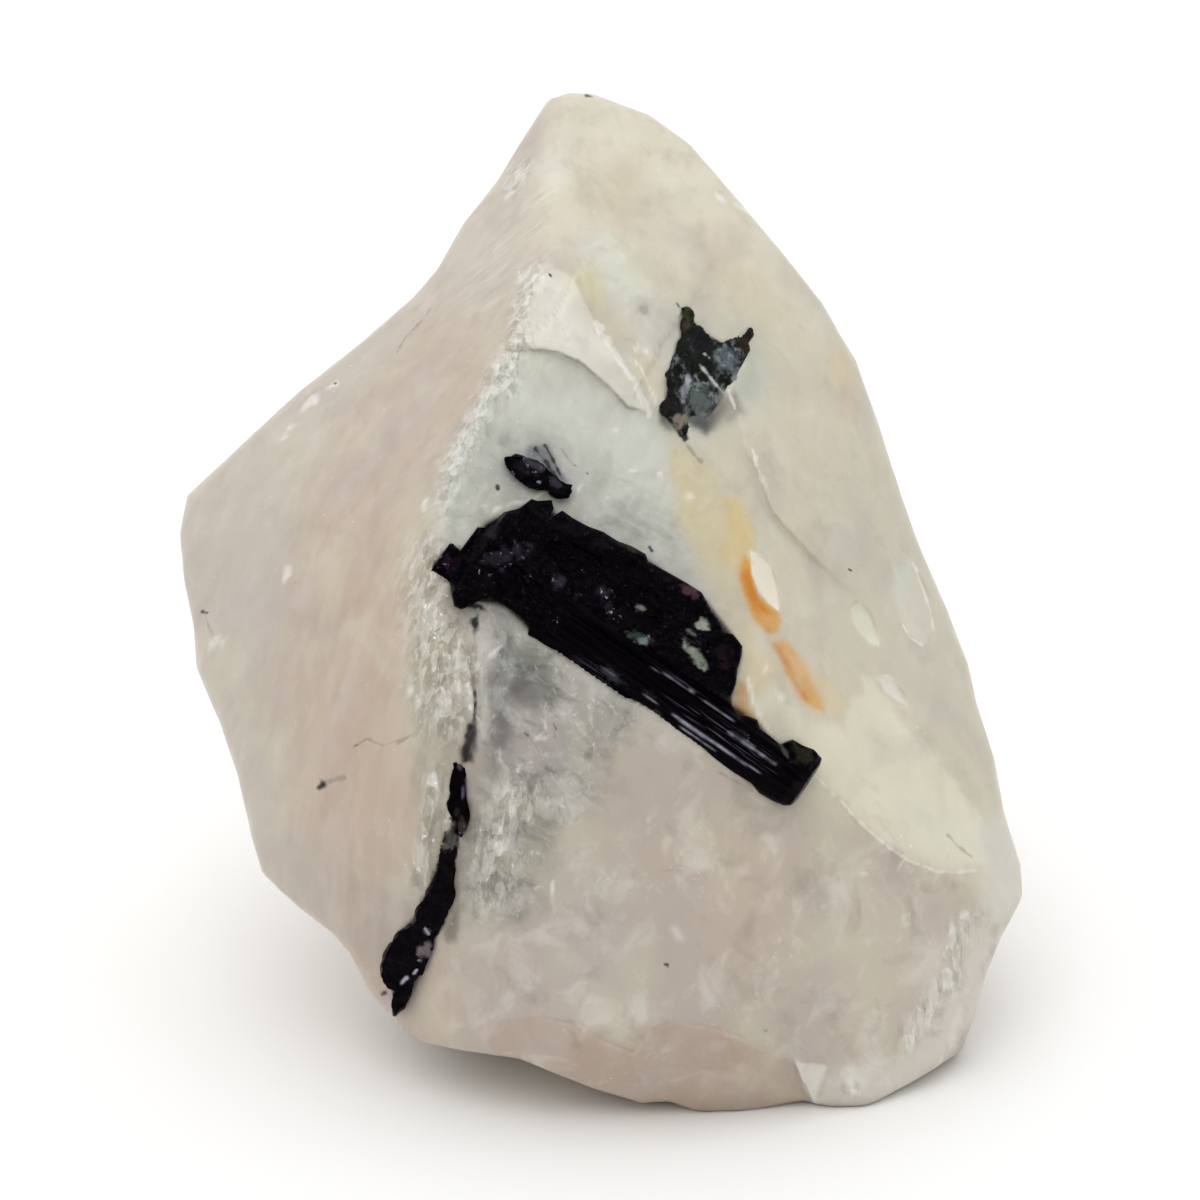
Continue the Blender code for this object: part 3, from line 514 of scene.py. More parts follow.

# Patches of other colour in the quartz, and painted shade in the crack beside the left ridge: an outline
# in pixels, the colour, how strong it is and how far its edge is blurred in millimetres
QUARTZ_PATCHES = {
    "paler rim of the left side": (
        [(177, 490), (300, 385), (440, 262), (520, 150), (530, 190), (470, 280), (400, 350),
         (330, 420), (300, 500), (280, 600), (265, 700), (290, 820), (330, 880), (300, 930),
         (240, 850), (170, 640)], "#bdb6ab", 0.85, 2.5),
    "pink heart of the left side": (
        [(322, 500), (400, 480), (410, 640), (416, 760), (390, 880), (340, 860), (318, 700)],
        "#b6a290", 0.85, 2.6),
    "striated high left": (
        [(548, 180), (552, 215), (530, 262), (500, 300), (470, 320), (470, 280), (490, 230)],
        "#c6c0b2", 0.7, 1.5),
    "foot of the left side": (
        [(270, 850), (330, 840), (420, 870), (440, 960), (400, 1010), (340, 930)], "#b2a394", 0.7,
        2.5),
    "paler top": (
        [(540, 90), (640, 100), (740, 200), (840, 330), (800, 350), (700, 250), (620, 230),
         (560, 240), (545, 180)], "#d9d3c1", 0.85, 3.0),
    "pinkish cloud in the top": (
        [(590, 170), (640, 160), (660, 220), (620, 240), (580, 210)], "#c4b8a0", 0.8, 1.8),
    "beige cloud right of the flake": (
        [(560, 230), (590, 240), (596, 262), (580, 280), (556, 262)], "#cfc6b8", 0.8, 1.2),
    "peach cloud on the right": (
        [(690, 230), (730, 235), (780, 300), (800, 340), (760, 330), (710, 280)], "#d6cab0", 0.8,
        1.6),
    "peach cloud by the rim": (
        [(832, 350), (846, 352), (856, 400), (848, 424), (838, 396)], "#d4c3a4", 0.8, 0.8),
    "grey right side": (
        [(850, 480), (900, 500), (960, 640), (990, 760), (950, 740), (900, 690), (840, 640),
         (810, 570)], "#c6c0b0", 0.8, 2.5),
    "grey-green centre": (
        [(520, 356), (560, 360), (600, 386), (630, 414), (655, 425), (667, 450), (676, 510),
         (690, 565), (650, 560), (600, 525), (560, 505), (500, 515), (470, 545), (448, 560),
         (440, 520), (456, 450), (480, 410), (500, 372)], "#c9cbc0", 0.95, 0.6),
    "grey halo on the big crystal": (
        [(446, 470), (480, 420), (540, 430), (610, 470), (680, 520), (700, 590), (640, 570),
         (560, 520), (480, 540), (446, 560)], "#aeb0a6", 0.85, 1.8),
    "crushed corner by the flake": (
        [(520, 300), (522, 282), (540, 273), (556, 276), (548, 290), (534, 306)], "#d8d4c8", 0.9,
        0.5),
    "pale flake": (
        [(645, 413), (628, 409), (616, 397), (600, 381), (580, 365), (560, 356), (544, 353),
         (536, 355), (526, 346), (525, 316), (528, 300), (544, 284), (558, 276), (574, 287),
         (596, 328), (616, 360), (636, 388)], "#dddbcf", 0.97, 0.10),
    "green-white above the flake": (
        [(576, 240), (610, 236), (640, 290), (664, 330), (660, 400), (640, 380), (618, 330),
         (590, 290)], "#d3d5c6", 0.9, 1.2),
    "grey of the green-white": (
        [(632, 300), (660, 300), (668, 340), (650, 350), (630, 330)], "#cbcbbd", 0.7, 1.0),
    "yellow by the flake": (
        [(573, 282), (592, 278), (604, 296), (608, 316), (624, 326), (632, 352), (612, 346),
         (594, 318)], "#d2c998", 0.8, 1.2),
    "tan by the plate": (
        [(622, 346), (640, 352), (660, 366), (664, 392), (656, 414), (644, 400), (632, 372)],
        "#cfc3a6", 0.8, 0.6),
    "tan strip beside the centre": (
        [(668, 440), (690, 450), (716, 486), (732, 550), (750, 630), (776, 690), (796, 750),
         (760, 730), (740, 680), (738, 640), (700, 570), (676, 520)], "#c8ba94", 0.90, 0.8),
    "haze round the plate": (
        [(648, 316), (680, 306), (760, 326), (780, 370), (760, 410), (720, 440), (690, 446),
         (662, 424), (662, 370)], "#bfbfb1", 0.65, 1.4),
    "cool haze right of the plate": (
        [(746, 350), (758, 352), (760, 384), (746, 400), (736, 396)], "#b3b9ad", 0.85, 0.8),
    "smoke under the plate": (
        [(676, 402), (700, 396), (724, 400), (726, 412), (712, 430), (704, 440), (690, 432),
         (680, 420)], "#414844", 1.0, 0.4),
    "warm smoke beside it": (
        [(714, 402), (732, 398), (738, 414), (728, 428), (710, 432)], "#80796e", 0.9, 0.5),
    "grey claw under the plate": (
        [(658, 410), (672, 408), (682, 424), (683, 438), (668, 432), (658, 424)], "#6b675f", 0.9,
        0.25),
    "light between stain and crystal": (
        [(742, 612), (756, 638), (770, 664), (784, 690), (766, 700), (750, 690), (742, 670)],
        "#d3c6a9", 0.9, 0.6),
    "yellow stain": (
        [(718, 498), (732, 498), (740, 508), (750, 520), (752, 545), (748, 556), (746, 566),
         (742, 576), (728, 570), (722, 556), (726, 536), (722, 518)], "#cfb881", 0.9, 0.8),
    "first orange stain": (
        [(741, 558), (746, 564), (747, 580), (752, 594), (760, 601), (768, 607), (774, 614),
         (775, 622), (772, 630), (765, 634), (756, 631), (749, 621), (743, 607), (737, 593),
         (734, 580), (737, 568)], "#cf9636", 1.0, 0.30),
    "deep heart of the first stain": (
        [(738, 576), (744, 574), (748, 588), (756, 602), (764, 614), (756, 614), (748, 606),
         (741, 594)], "#c67a00", 0.95, 0.40),
    "second orange stain": (
        [(765, 640), (782, 641), (790, 648), (800, 662), (806, 676), (814, 688), (821, 700),
         (819, 711), (808, 706), (797, 696), (788, 686), (781, 671), (775, 657)], "#d2a464", 1.0,
        0.35),
    "deep streak of the second stain": (
        [(768, 644), (776, 648), (786, 664), (794, 682), (806, 698), (800, 698), (788, 684),
         (778, 664)], "#c98a48", 0.9, 0.30),
    "yellow end of the second stain": (
        [(806, 672), (824, 678), (834, 696), (838, 716), (828, 713), (816, 702)], "#d3bd92", 0.7,
        0.8),
    "peach strip under the crystal": (
        [(733, 676), (740, 682), (745, 699), (753, 711), (761, 721), (764, 732), (752, 726),
         (738, 718), (726, 704)], "#bf9a6a", 1.0, 0.2),
    "cream lobe": (
        [(806, 766), (790, 752), (764, 738), (748, 700), (770, 680), (800, 716), (836, 722),
         (862, 676), (903, 716), (966, 798), (994, 840), (990, 866), (958, 869), (935, 868),
         (904, 855), (877, 836), (853, 814), (836, 795)], "#dad5bf", 0.95, 0.5),
    "greener end of the lobe": (
        [(900, 800), (950, 800), (990, 850), (960, 866), (920, 850)], "#d9d9c6", 0.7, 2.0),
    "lens scar by the stain": (
        [(746, 552), (756, 556), (766, 566), (773, 590), (774, 611), (764, 604), (753, 592),
         (747, 575)], "#e6dfcd", 1.0, 0.10),
    "first lens scar": (
        [(852, 608), (862, 602), (870, 614), (877, 632), (880, 646), (870, 643), (861, 634),
         (854, 622)], "#dadac8", 1.0, 0.12),
    "second lens scar": (
        [(898, 590), (904, 568), (912, 562), (922, 584), (931, 606), (936, 630), (924, 646),
         (911, 637), (903, 622)], "#d1ccbd", 0.95, 0.14),
    "green rim of the second lens scar": (
        [(896, 600), (898, 570), (912, 556), (918, 570), (906, 584), (902, 606)], "#cdcfc0", 0.8,
        0.4),
    "third lens scar": (
        [(877, 678), (886, 675), (895, 684), (904, 704), (896, 702), (884, 692)], "#e0dacf", 1.0,
        0.16),
    "grey knob at the right": (
        [(980, 830), (1008, 815), (1024, 880), (1000, 935), (975, 910), (985, 870)], "#cfccc2", 0.9,
        0.8),
    "pale right foot": (
        [(955, 915), (1000, 935), (975, 1015), (950, 1055), (880, 1100), (810, 1100), (830, 1066),
         (895, 1050), (922, 1005), (940, 960)], "#d3cec4", 0.9, 0.8),
    "foot chip": (
        [(792, 1056), (801, 1060), (827, 1062), (821, 1078), (812, 1100), (804, 1085), (797, 1072)],
        "#dedbd0", 0.95, 0.12),
    # The face turned under the front: pinker in its own colour and darker by painted shade
    "under the front": (
        [(480, 1014), (540, 1006), (560, 1008), (578, 1014), (605, 1029), (632, 1044), (647, 1032),
         (653, 1017), (677, 1015), (704, 1020), (728, 1029), (755, 1044), (767, 1050), (793, 1056),
         (806, 1100), (700, 1112), (600, 1090), (500, 1050)], "#b09d8c", 0.97, 0.12),
    "paler right of the low front": (
        [(830, 850), (900, 872), (960, 880), (945, 960), (900, 1040), (840, 1050), (810, 980)],
        "#c5baab", 0.85, 3.0),
    "lilac cloud of the low front": (
        [(570, 850), (620, 860), (640, 940), (620, 1000), (560, 980), (560, 900)], "#b6aea6", 0.7,
        2.5),
    "rosy cloud of the low front": (
        [(700, 830), (790, 840), (800, 920), (740, 960), (690, 900)], "#c1b2a2", 0.7, 3.0),
    "smoky quartz": (
        [(470, 602), (500, 598), (524, 620), (600, 680), (640, 710), (612, 745), (590, 800), (540, 830),
         (500, 850), (476, 840), (478, 740), (482, 690)], "#9d9991", 0.90, 1.5),
    "dark of the smoke": (
        [(494, 652), (506, 640), (532, 638), (550, 660), (562, 690), (540, 702), (518, 714),
         (508, 742), (498, 770), (488, 766), (489, 730), (492, 700), (490, 676)], "#64645f", 0.95,
        0.7),
    "darkest of the smoke": (
        [(498, 660), (508, 668), (520, 694), (514, 710), (502, 714), (496, 690)], "#4c4d48", 0.9,
        0.6),
    "light of the smoke": (
        [(474, 634), (500, 640), (496, 664), (480, 668)], "#bfbab3", 0.8, 0.5),
    "bright strip beside the crack": (
        [(484, 688), (490, 688), (493, 704), (490, 737), (483, 737), (484, 712)], "#cfcfc4", 0.75,
        0.3),
    "lilac of the smoke": (
        [(512, 740), (540, 712), (570, 730), (560, 770), (530, 780)], "#a39c98", 0.7, 0.8),
    "green-white beside the blade": (
        [(476, 800), (520, 790), (556, 800), (558, 860), (552, 905), (520, 910), (470, 920),
         (452, 930), (462, 860)], "#a39e90", 0.9, 0.5),
    "olive sliver beside the blade": (
        [(456, 902), (464, 896), (465, 914), (462, 932), (450, 930), (448, 918)], "#7d7466", 0.95,
        0.2),
    "grey-cream ridge": (
        [(430, 530), (470, 590), (480, 690), (478, 720), (464, 760), (452, 840), (424, 905),
         (412, 900), (424, 840), (420, 760), (412, 690), (420, 600)], "#a19987", 0.95, 0.6),
    # Painted shade in the crack beside the left ridge, dark brown
    "painted shade in the crack": (
        [(478, 712), (481, 724), (480, 746), (476, 760), (465, 759), (464, 748), (468, 736),
         (472, 722)], "#20150f", 1.0, 0.20),
    "lilac sheen beside the upper blade": (
        [(468, 772), (473, 776), (473, 806), (469, 802)], "#8c8794", 0.8, 0.2),
    "crumbs above the lower blade": (
        [(447, 836), (449, 828), (455, 820), (461, 816), (463, 826), (463, 842), (450, 844)],
        "#33312c", 0.95, 0.15),
    "haze over the splinter": (
        [(524, 454), (530, 448), (548, 445), (556, 460), (570, 484), (556, 484), (538, 470)],
        "#63666f", 0.9, 0.40),
    "green crumb under the splinter": (
        [(530, 493), (546, 490), (554, 498), (546, 504), (534, 502)], "#a6a996", 0.8, 0.2),
    "green chips by the crystal": (
        [(468, 596), (476, 600), (484, 606), (482, 616), (474, 612), (467, 604)], "#8f9183", 0.9,
        0.15),
    "white of the ridge top": (
        [(548, 150), (568, 160), (566, 184), (548, 200), (540, 180)], "#dcd9cd", 0.85, 0.7),
}


# The smoky patches and the darkest smoke, and how smoky each is; and the patches no cloud veils
SMOKY_PATCHES = [
    ("smoky quartz", 1.0), ("green-white beside the blade", 0.8),
    ("grey halo on the big crystal", 0.45),
]
DEEP_SMOKE_PATCHES = [("dark of the smoke", 0.50), ("darkest of the smoke", 1.0)]
PLAIN_PATCHES = [
    "yellow stain", "first orange stain", "second orange stain", "peach strip under the crystal",
    "lens scar by the stain", "olive sliver beside the blade", "painted shade in the crack",
    "haze over the splinter", "green chips by the crystal", "green crumb under the splinter",
    "bright strip beside the crack", "crumbs above the lower blade", "smoke under the plate",
]

# How mottled each face is, in the order of FACE_COLOURS
MOTTLING = np.array((0.25, 0.45, 0.80, 1.0, 0.50))
BACK_MOTTLING = 0.8

# The fine oblique striations high on the left side
STRIATED_PATCH = [(548, 180), (552, 215), (530, 262), (500, 300), (470, 330), (462, 300), (484, 240)]


def in_patch(flat, wander, pixels, blur):
    """1 inside a patch and 0 outside it, with a ragged edge."""
    past = outside(flat, pixels) + wander * (0.35 + 0.25 * blur) * min(1.0, blur * 1.5)
    return 1 / (1 + np.exp(np.clip(past * 3.0 / blur, -40, 40)))


def face_shares(points):
    """How far each place belongs to each broken face of the front."""
    groups = np.stack(front_groups(points))
    weights = np.exp((groups.min(axis=0) - groups) / 0.35)
    return weights / weights.sum(axis=0)


def back_creases(points):
    """1 where two broken faces of the back meet, fading to 0 a millimetre away."""
    placed = points @ VIEW_AXES
    heights = []
    for facing, place in BACK_FACES:
        heights.append((placed - np.array(place)) @ (np.array(facing) / np.linalg.norm(facing)))
    heights = np.sort(heights, axis=0)
    return np.clip(1.2 - (heights[-1] - heights[-2]) / 0.8, 0.0, 1.0)


def quartz_colours(places, wander):
    """The colour of the quartz at each place of its surface."""
    colour = face_shares(places[:, :2]).T @ np.array([own_colour(face) for face in FACE_COLOURS])
    for pixels, tint, strength, blur in QUARTZ_PATCHES.values():
        share = strength * in_patch(places[:, :2], wander, pixels, blur)
        colour += (own_colour(tint) - colour) * share[:, None]
    front = on_front(places)[:, None]
    back = own_colour(BACK_COLOUR) * (1 + 0.10 * lumps(places, 9.0)[:, None])
    return colour * front + back * (1 - front)


def paint(mesh, name, values):
    """Stores one value or one colour at each of a mesh's points."""
    if values.ndim == 1:
        layer = mesh.attributes.new(name, "FLOAT", "POINT")
        layer.data.foreach_set("value", values.astype(np.float32))
        return
    layer = mesh.attributes.new(name, "FLOAT_COLOR", "POINT")
    full = np.concatenate([values, np.ones((len(values), 1))], axis=1)
    layer.data.foreach_set("color", full.astype(np.float32).ravel())


def line_mark(points, lines):
    """1 on each thin line, fading raggedly over half its width in millimetres."""
    mark = np.zeros(len(points))
    for pixels, half_width in lines:
        distance, _, _ = near_path(points, path_as_seen(pixels))
        close = np.flatnonzero(distance < half_width * 3)
        solid_points = np.concatenate([points[close], np.full((len(close), 1), half_width)], axis=1)
        ragged = 1.4 + 1.6 * lumps(solid_points, 0.7, 2) - distance[close] / half_width
        mark[close] = np.maximum(mark[close], np.clip(ragged, 0.0, 1.0))
    return mark


quartz_shape = rounded_cube(QUARTZ_GRID)
places = face_places(quartz_shape)
split_faces(quartz_shape, np.flatnonzero(places[:, 2] > QUARTZ_HEART[2] + 2.0), 1)
places = face_places(quartz_shape)
sharp = np.zeros(len(places), bool)
for pixels in [step[0] for step in FRONT_STEPS] + [line[0] for line in DARK_FLECKS_AND_CRACK_SHADE + CRACKS_AND_SHADE_LINES]:
    sharp |= near_path(places[:, :2], path_as_seen(pixels))[0] < 0.42
for pixels, _, _, blur in QUARTZ_PATCHES.values():
    if blur < 0.2:
        sharp |= near_path(places[:, :2], path_as_seen(pixels), closed=True)[0] < 0.25
for pixel_x, pixel_y, half_x, half_y, turn, _ in FRONT_CHIPS:
    sharp |= np.abs(in_oval(places[:, :2], pixel_x, pixel_y, half_x, half_y, turn) - 1) < 0.2
split_faces(quartz_shape, np.flatnonzero(sharp & (on_front(places) > 0.9)), 2)
quartz_ways = unit(np.array([vertex.co[:] for vertex in quartz_shape.verts]))
quartz_places = onto_quartz(quartz_ways)
quartz_surface = in_the_frame(break_surface(quartz_places, quartz_ways))
quartz_surface = np.clip(quartz_surface, np.array(cad_box[0]), np.array(cad_box[1]))
for vertex, place in zip(quartz_shape.verts, quartz_surface):
    vertex.co = place
many_sided = [face for face in quartz_shape.faces if len(face.verts) > 4]
bmesh.ops.triangulate(quartz_shape, faces=many_sided)
quartz_mesh = bpy.data.meshes.new("rose_quartz_lump")
quartz_shape.to_mesh(quartz_mesh)
quartz_shape.free()
quartz_mesh.shade_smooth()


quartz_front = on_front(quartz_places)
flat_places = quartz_places[:, :2]
wander = lumps(quartz_places, 2.2, 3)
crushed = np.zeros(len(quartz_places))
for pixels, half_width in CRUSHED_RIDGES:
    crushed = np.maximum(crushed, band(flat_places, pixels, half_width * 1.5))
worn_crease = back_creases(quartz_places) * np.clip(0.5 + wander * 1.6, 0.0, 1.0)
smoky = 0.0
for patch, most in SMOKY_PATCHES:
    smoky = np.maximum(smoky, most * in_patch(flat_places, wander, QUARTZ_PATCHES[patch][0], 1.2))
deep_smoke = 0.0
for patch, most in DEEP_SMOKE_PATCHES:
    in_it = in_patch(flat_places, wander, QUARTZ_PATCHES[patch][0], 1.0)
    deep_smoke = np.maximum(deep_smoke, most * in_it)
plain = 0.0
for patch in PLAIN_PATCHES:
    plain = np.maximum(plain, in_patch(flat_places, wander, QUARTZ_PATCHES[patch][0], 0.3))
bright_flake = np.zeros(len(quartz_places))
for pixel_x, pixel_y, half_x, half_y, turn in BRIGHT_FLAKES:
    oval = in_oval(flat_places, pixel_x, pixel_y, half_x, half_y, turn)
    close = np.flatnonzero(oval < 2.5)
    ragged = 1.3 - oval[close] + 1.2 * lumps(quartz_places[close], 0.8, 3)
    bright_flake[close] = np.maximum(bright_flake[close], np.clip(ragged, 0.0, 1.0))
# Painted highlights on bright rims and flakes, with a few thin white veins
front_veins_and_highlights = np.maximum(line_mark(flat_places, WHITE_VEINS_AND_HIGHLIGHTS), bright_flake * 0.9)
striated = in_patch(flat_places, wander, STRIATED_PATCH, 1.0)
left_side = 1 / (1 + np.exp(front_groups(flat_places)[0] - front_groups(flat_places)[3]))
front_mottling = MOTTLING @ face_shares(flat_places)
paint(quartz_mesh, "quartz_colour", quartz_colours(quartz_places, wander))
clear = 1 - plain * quartz_front
crushed = crushed * quartz_front + 0.8 * worn_crease * (1 - quartz_front)
paint(quartz_mesh, "cloudy", clear)
paint(quartz_mesh, "crushed", crushed * clear)
paint(quartz_mesh, "smoky", smoky * quartz_front * clear)
paint(quartz_mesh, "deep_smoke", deep_smoke * quartz_front)
paint(quartz_mesh, "streaked", left_side * quartz_front)
paint(quartz_mesh, "striated", striated * quartz_front)
paint(quartz_mesh, "mottled", BACK_MOTTLING + (front_mottling - BACK_MOTTLING) * quartz_front)
paint(quartz_mesh, "dark_fleck_and_crack_shade", line_mark(flat_places, DARK_FLECKS_AND_CRACK_SHADE) * quartz_front)
paint(quartz_mesh, "crack_and_painted_shade", line_mark(flat_places, CRACKS_AND_SHADE_LINES) * quartz_front)
paint(quartz_mesh, "white_vein_and_painted_highlight", front_veins_and_highlights * quartz_front)


def new_finish(name):
    """An empty material with a shader, ready for its nodes."""
    finish = bpy.data.materials.new(name)
    finish.use_nodes = True
    return finish, finish.node_tree, finish.node_tree.nodes["Principled BSDF"]


def add_node(tree, kind, settings=None, **inputs):
    """Adds a node; an input is set to a number or colour, or linked from another node's output."""
    node = tree.nodes.new(kind)
    for name, value in (settings or {}).items():
        setattr(node, name, value)
    for name, value in inputs.items():
        is_number = name[0] == "i" and name[1:].isdigit()
        socket = node.inputs[int(name[1:])] if is_number else node.inputs[name]
        if isinstance(value, bpy.types.NodeSocket):
            tree.links.new(value, socket)
        else:
            socket.default_value = value
    return node


def solid(hex_colour):
    return (*linear(hex_colour), 1.0)


def pattern(tree, size, octaves, roughness, stretch=(1, 1, 1), lie=(0, 0, 0), bend=0.0, shift=0.0):
    """Natural lumps of a size in millimetres, drawn out along axes that lie turned in the stone."""
    place = add_node(tree, "ShaderNodeTexCoord").outputs["Object"]
    turned = add_node(
        tree, "ShaderNodeMapping", {"vector_type": "TEXTURE"},
        i0=place, i1=(shift, shift, shift), i2=lie, i3=stretch,
    )
    lumpy = add_node(
        tree, "ShaderNodeTexNoise", Vector=turned.outputs[0], Scale=1 / (size * MM), Detail=octaves,
        Roughness=roughness, Distortion=bend,
    )
    return lumpy.outputs["Fac"]


def laid_over(tree, below, colour, most, field, low, high, where=()):
    """Lays a colour on the finish where a pattern goes from low to high, as masks allow."""
    share = add_node(
        tree, "ShaderNodeMapRange", i0=field, i1=low, i2=high, i3=0.0, i4=most,
    ).outputs[0]
    for mask in where:
        share = add_node(
            tree, "ShaderNodeMath", {"operation": "MULTIPLY"}, i0=share, i1=mask,
        ).outputs[0]
    settings = {"data_type": "RGBA"}
    return add_node(tree, "ShaderNodeMix", settings, i0=share, i6=below, i7=solid(colour)).outputs[2]


def masks_on(tree, names):
    """The values painted on the mesh under each name."""
    masks = {}
    for name in names:
        masks[name] = add_node(tree, "ShaderNodeAttribute", {"attribute_name": name}).outputs["Fac"]
    return masks


# Milky rose quartz, broken out by hand. Clouds of lilac, cream and white lie in it; light sinks in a
# little and spreads, which looks waxy. Crushed ridges are white and full of flakes, whose sparkle is
# painted as white specks and as lighter and darker flakes
UPRIGHT = (0.0, 0.0, 0.0)
LEANS_LEFT = (0.0, math.radians(-30), 0.0)
LEANS_RIGHT = (0.0, math.radians(35), 0.0)
SCRATCHES_LIE = (0.0, math.radians(48), 0.0)

# Colour, greatest strength, lump size in millimetres, octaves, roughness, stretch, lie, bend, shift
# in metres, the pattern's values from which and to which it grows, and where it shows
QUARTZ_CLOUDS = [
    ("#b5a9a8", 0.34, 7.0, 2, 0.50, (1, 1, 1.5), LEANS_RIGHT, 0.6, 0.010, 0.46, 0.66, ["cloudy"]),
    ("#cfccb4", 0.30, 6.0, 2, 0.50, (1, 1, 1.2), LEANS_LEFT, 0.6, 0.020, 0.48, 0.66, ["cloudy"]),
    ("#f3f0e8", 0.27, 3.2, 4, 0.56, (1, 1, 1.2), LEANS_RIGHT, 0.5, 0.030, 0.52, 0.68, ["mottled"]),
    ("#85796e", 0.32, 3.0, 4, 0.58, (1, 1, 1.2), LEANS_LEFT, 0.5, 0.040, 0.54, 0.70, ["mottled"]),
    ("#f6f4ee", 0.34, 1.1, 4, 0.64, (1, 1, 1.3), LEANS_RIGHT, 0.5, 0.050, 0.58, 0.74,
     ["mottled", "patchy"]),
    ("#f4f1e6", 0.15, 1.4, 4, 0.60, (1, 1, 4.5), LEANS_LEFT, 0.4, 0.060, 0.54, 0.70,
     ["mottled", "patchy"]),
    ("#ddd2c5", 0.22, 2.4, 3, 0.50, (1, 1, 7.0), (0.0, 0.10, 0.0), 0.2, 0.070, 0.50, 0.70,
     ["streaked"]),
    ("#9e8b7a", 0.18, 1.6, 3, 0.50, (1, 1, 9.0), (0.0, 0.06, 0.0), 0.2, 0.080, 0.54, 0.72,
     ["streaked"]),
    ("#8f8376", 0.26, 0.6, 4, 0.60, (1, 1, 9.0), SCRATCHES_LIE, 0.8, 0.000, 0.52, 0.68,
     ["striated"]),
    ("#efece4", 0.36, 0.7, 4, 0.60, (1, 1, 8.0), SCRATCHES_LIE, 0.8, 0.015, 0.54, 0.70,
     ["striated"]),
    ("#565857", 0.60, 2.4, 5, 0.64, (1.5, 1, 1), LEANS_RIGHT, 0.8, 0.025, 0.50, 0.66, ["smoky"]),
    ("#dfe1dd", 0.42, 2.0, 5, 0.68, (1, 1, 2.0), LEANS_LEFT, 0.6, 0.035, 0.53, 0.70, ["smoky"]),
    ("#f2f2ee", 0.40, 0.7, 4, 0.68, (1, 1, 1.6), UPRIGHT, 0.4, 0.085, 0.58, 0.68, ["smoky"]),
    ("#353632", 0.75, 1.8, 5, 0.66, (1, 1, 2.2), LEANS_LEFT, 0.6, 0.095, 0.28, 0.56,
     ["deep_smoke"]),
    ("#f7f6ef", 0.50, 0.7, 4, 0.70, (1, 1, 4.0), UPRIGHT, 0.3, 0.045, 0.48, 0.64, ["crushed"]),
    ("#7c796e", 0.55, 0.7, 4, 0.70, (1, 1, 4.5), UPRIGHT, 0.3, 0.055, 0.52, 0.66, ["crushed"]),
    # Painted sparkle: tiny white specks on the crushed ridges and here and there on the faces
    ("#ffffff", 0.80, 0.4, 2, 0.50, (1, 1, 1.6), UPRIGHT, 0.0, 0.065, 0.68, 0.73, ["crushed"]),
    ("#ffffff", 0.40, 0.4, 2, 0.50, (1, 1, 1.0), UPRIGHT, 0.0, 0.075, 0.71, 0.76, ["patchy"]),
]
# Marks: white veins with painted highlights, cracks with lines of painted shade, dark flecks with
# painted shade in a crack
QUARTZ_MARKS = [
    ("#fdfbf4", 0.48, "white_vein_and_painted_highlight"), ("#70675c", 0.42, "crack_and_painted_shade"), ("#050304", 1.0, "dark_fleck_and_crack_shade"),
]
FLAKE_SIZE = 0.55

quartz_finish, tree, shader = new_finish("milky_rose_quartz")
masks = masks_on(tree, ["mottled", "cloudy", "streaked", "striated", "smoky", "deep_smoke",
                        "crushed", "white_vein_and_painted_highlight", "crack_and_painted_shade", "dark_fleck_and_crack_shade"])
masks["patchy"] = add_node(
    tree, "ShaderNodeMapRange", i0=pattern(tree, 7.0, 2, 0.5), i1=0.44, i2=0.62, i3=0.05, i4=1.0,
).outputs[0]
body = add_node(tree, "ShaderNodeAttribute", {"attribute_name": "quartz_colour"}).outputs["Color"]
for colour, most, size, octaves, roughness, stretch, lie, bend, shift, low, high, names in QUARTZ_CLOUDS:
    field = pattern(tree, size, octaves, roughness, stretch, lie, bend, shift)
    body = laid_over(tree, body, colour, most, field, low, high, [masks[name] for name in names])

# Crushed quartz breaks in long flat flakes, each of which catches the light its own way: each flake gets
# a painted highlight or painted shade, and its own tilt from a bump
flake_place = add_node(
    tree, "ShaderNodeMapping", {"vector_type": "TEXTURE"},
    i0=add_node(tree, "ShaderNodeTexCoord").outputs["Object"], i2=(0.0, 0.12, 0.0), i3=(1, 1, 5.0),
).outputs[0]
warp = add_node(tree, "ShaderNodeTexNoise", Vector=flake_place, Scale=1 / (1.2 * MM), Detail=3.0)
warp_size = add_node(
    tree, "ShaderNodeVectorMath", {"operation": "SCALE"}, i0=warp.outputs["Color"], Scale=1.0 * MM,
).outputs[0]
warped_place = add_node(tree, "ShaderNodeVectorMath", i0=flake_place, i1=warp_size).outputs[0]
flakes = add_node(tree, "ShaderNodeTexVoronoi", Vector=warped_place, Scale=1 / (FLAKE_SIZE * MM))
flake_tone = add_node(tree, "ShaderNodeRGBToBW", i0=flakes.outputs["Color"]).outputs[0]
body = laid_over(tree, body, "#fbfaf4", 0.28, flake_tone, 0.52, 0.66, [masks["crushed"]])
body = laid_over(tree, body, "#84806f", 0.24, flake_tone, 0.46, 0.34, [masks["crushed"]])
for colour, most, name in QUARTZ_MARKS:
    body = laid_over(tree, body, colour, most, masks[name], 0.0, 1.0)
tree.links.new(body, shader.inputs["Base Color"])

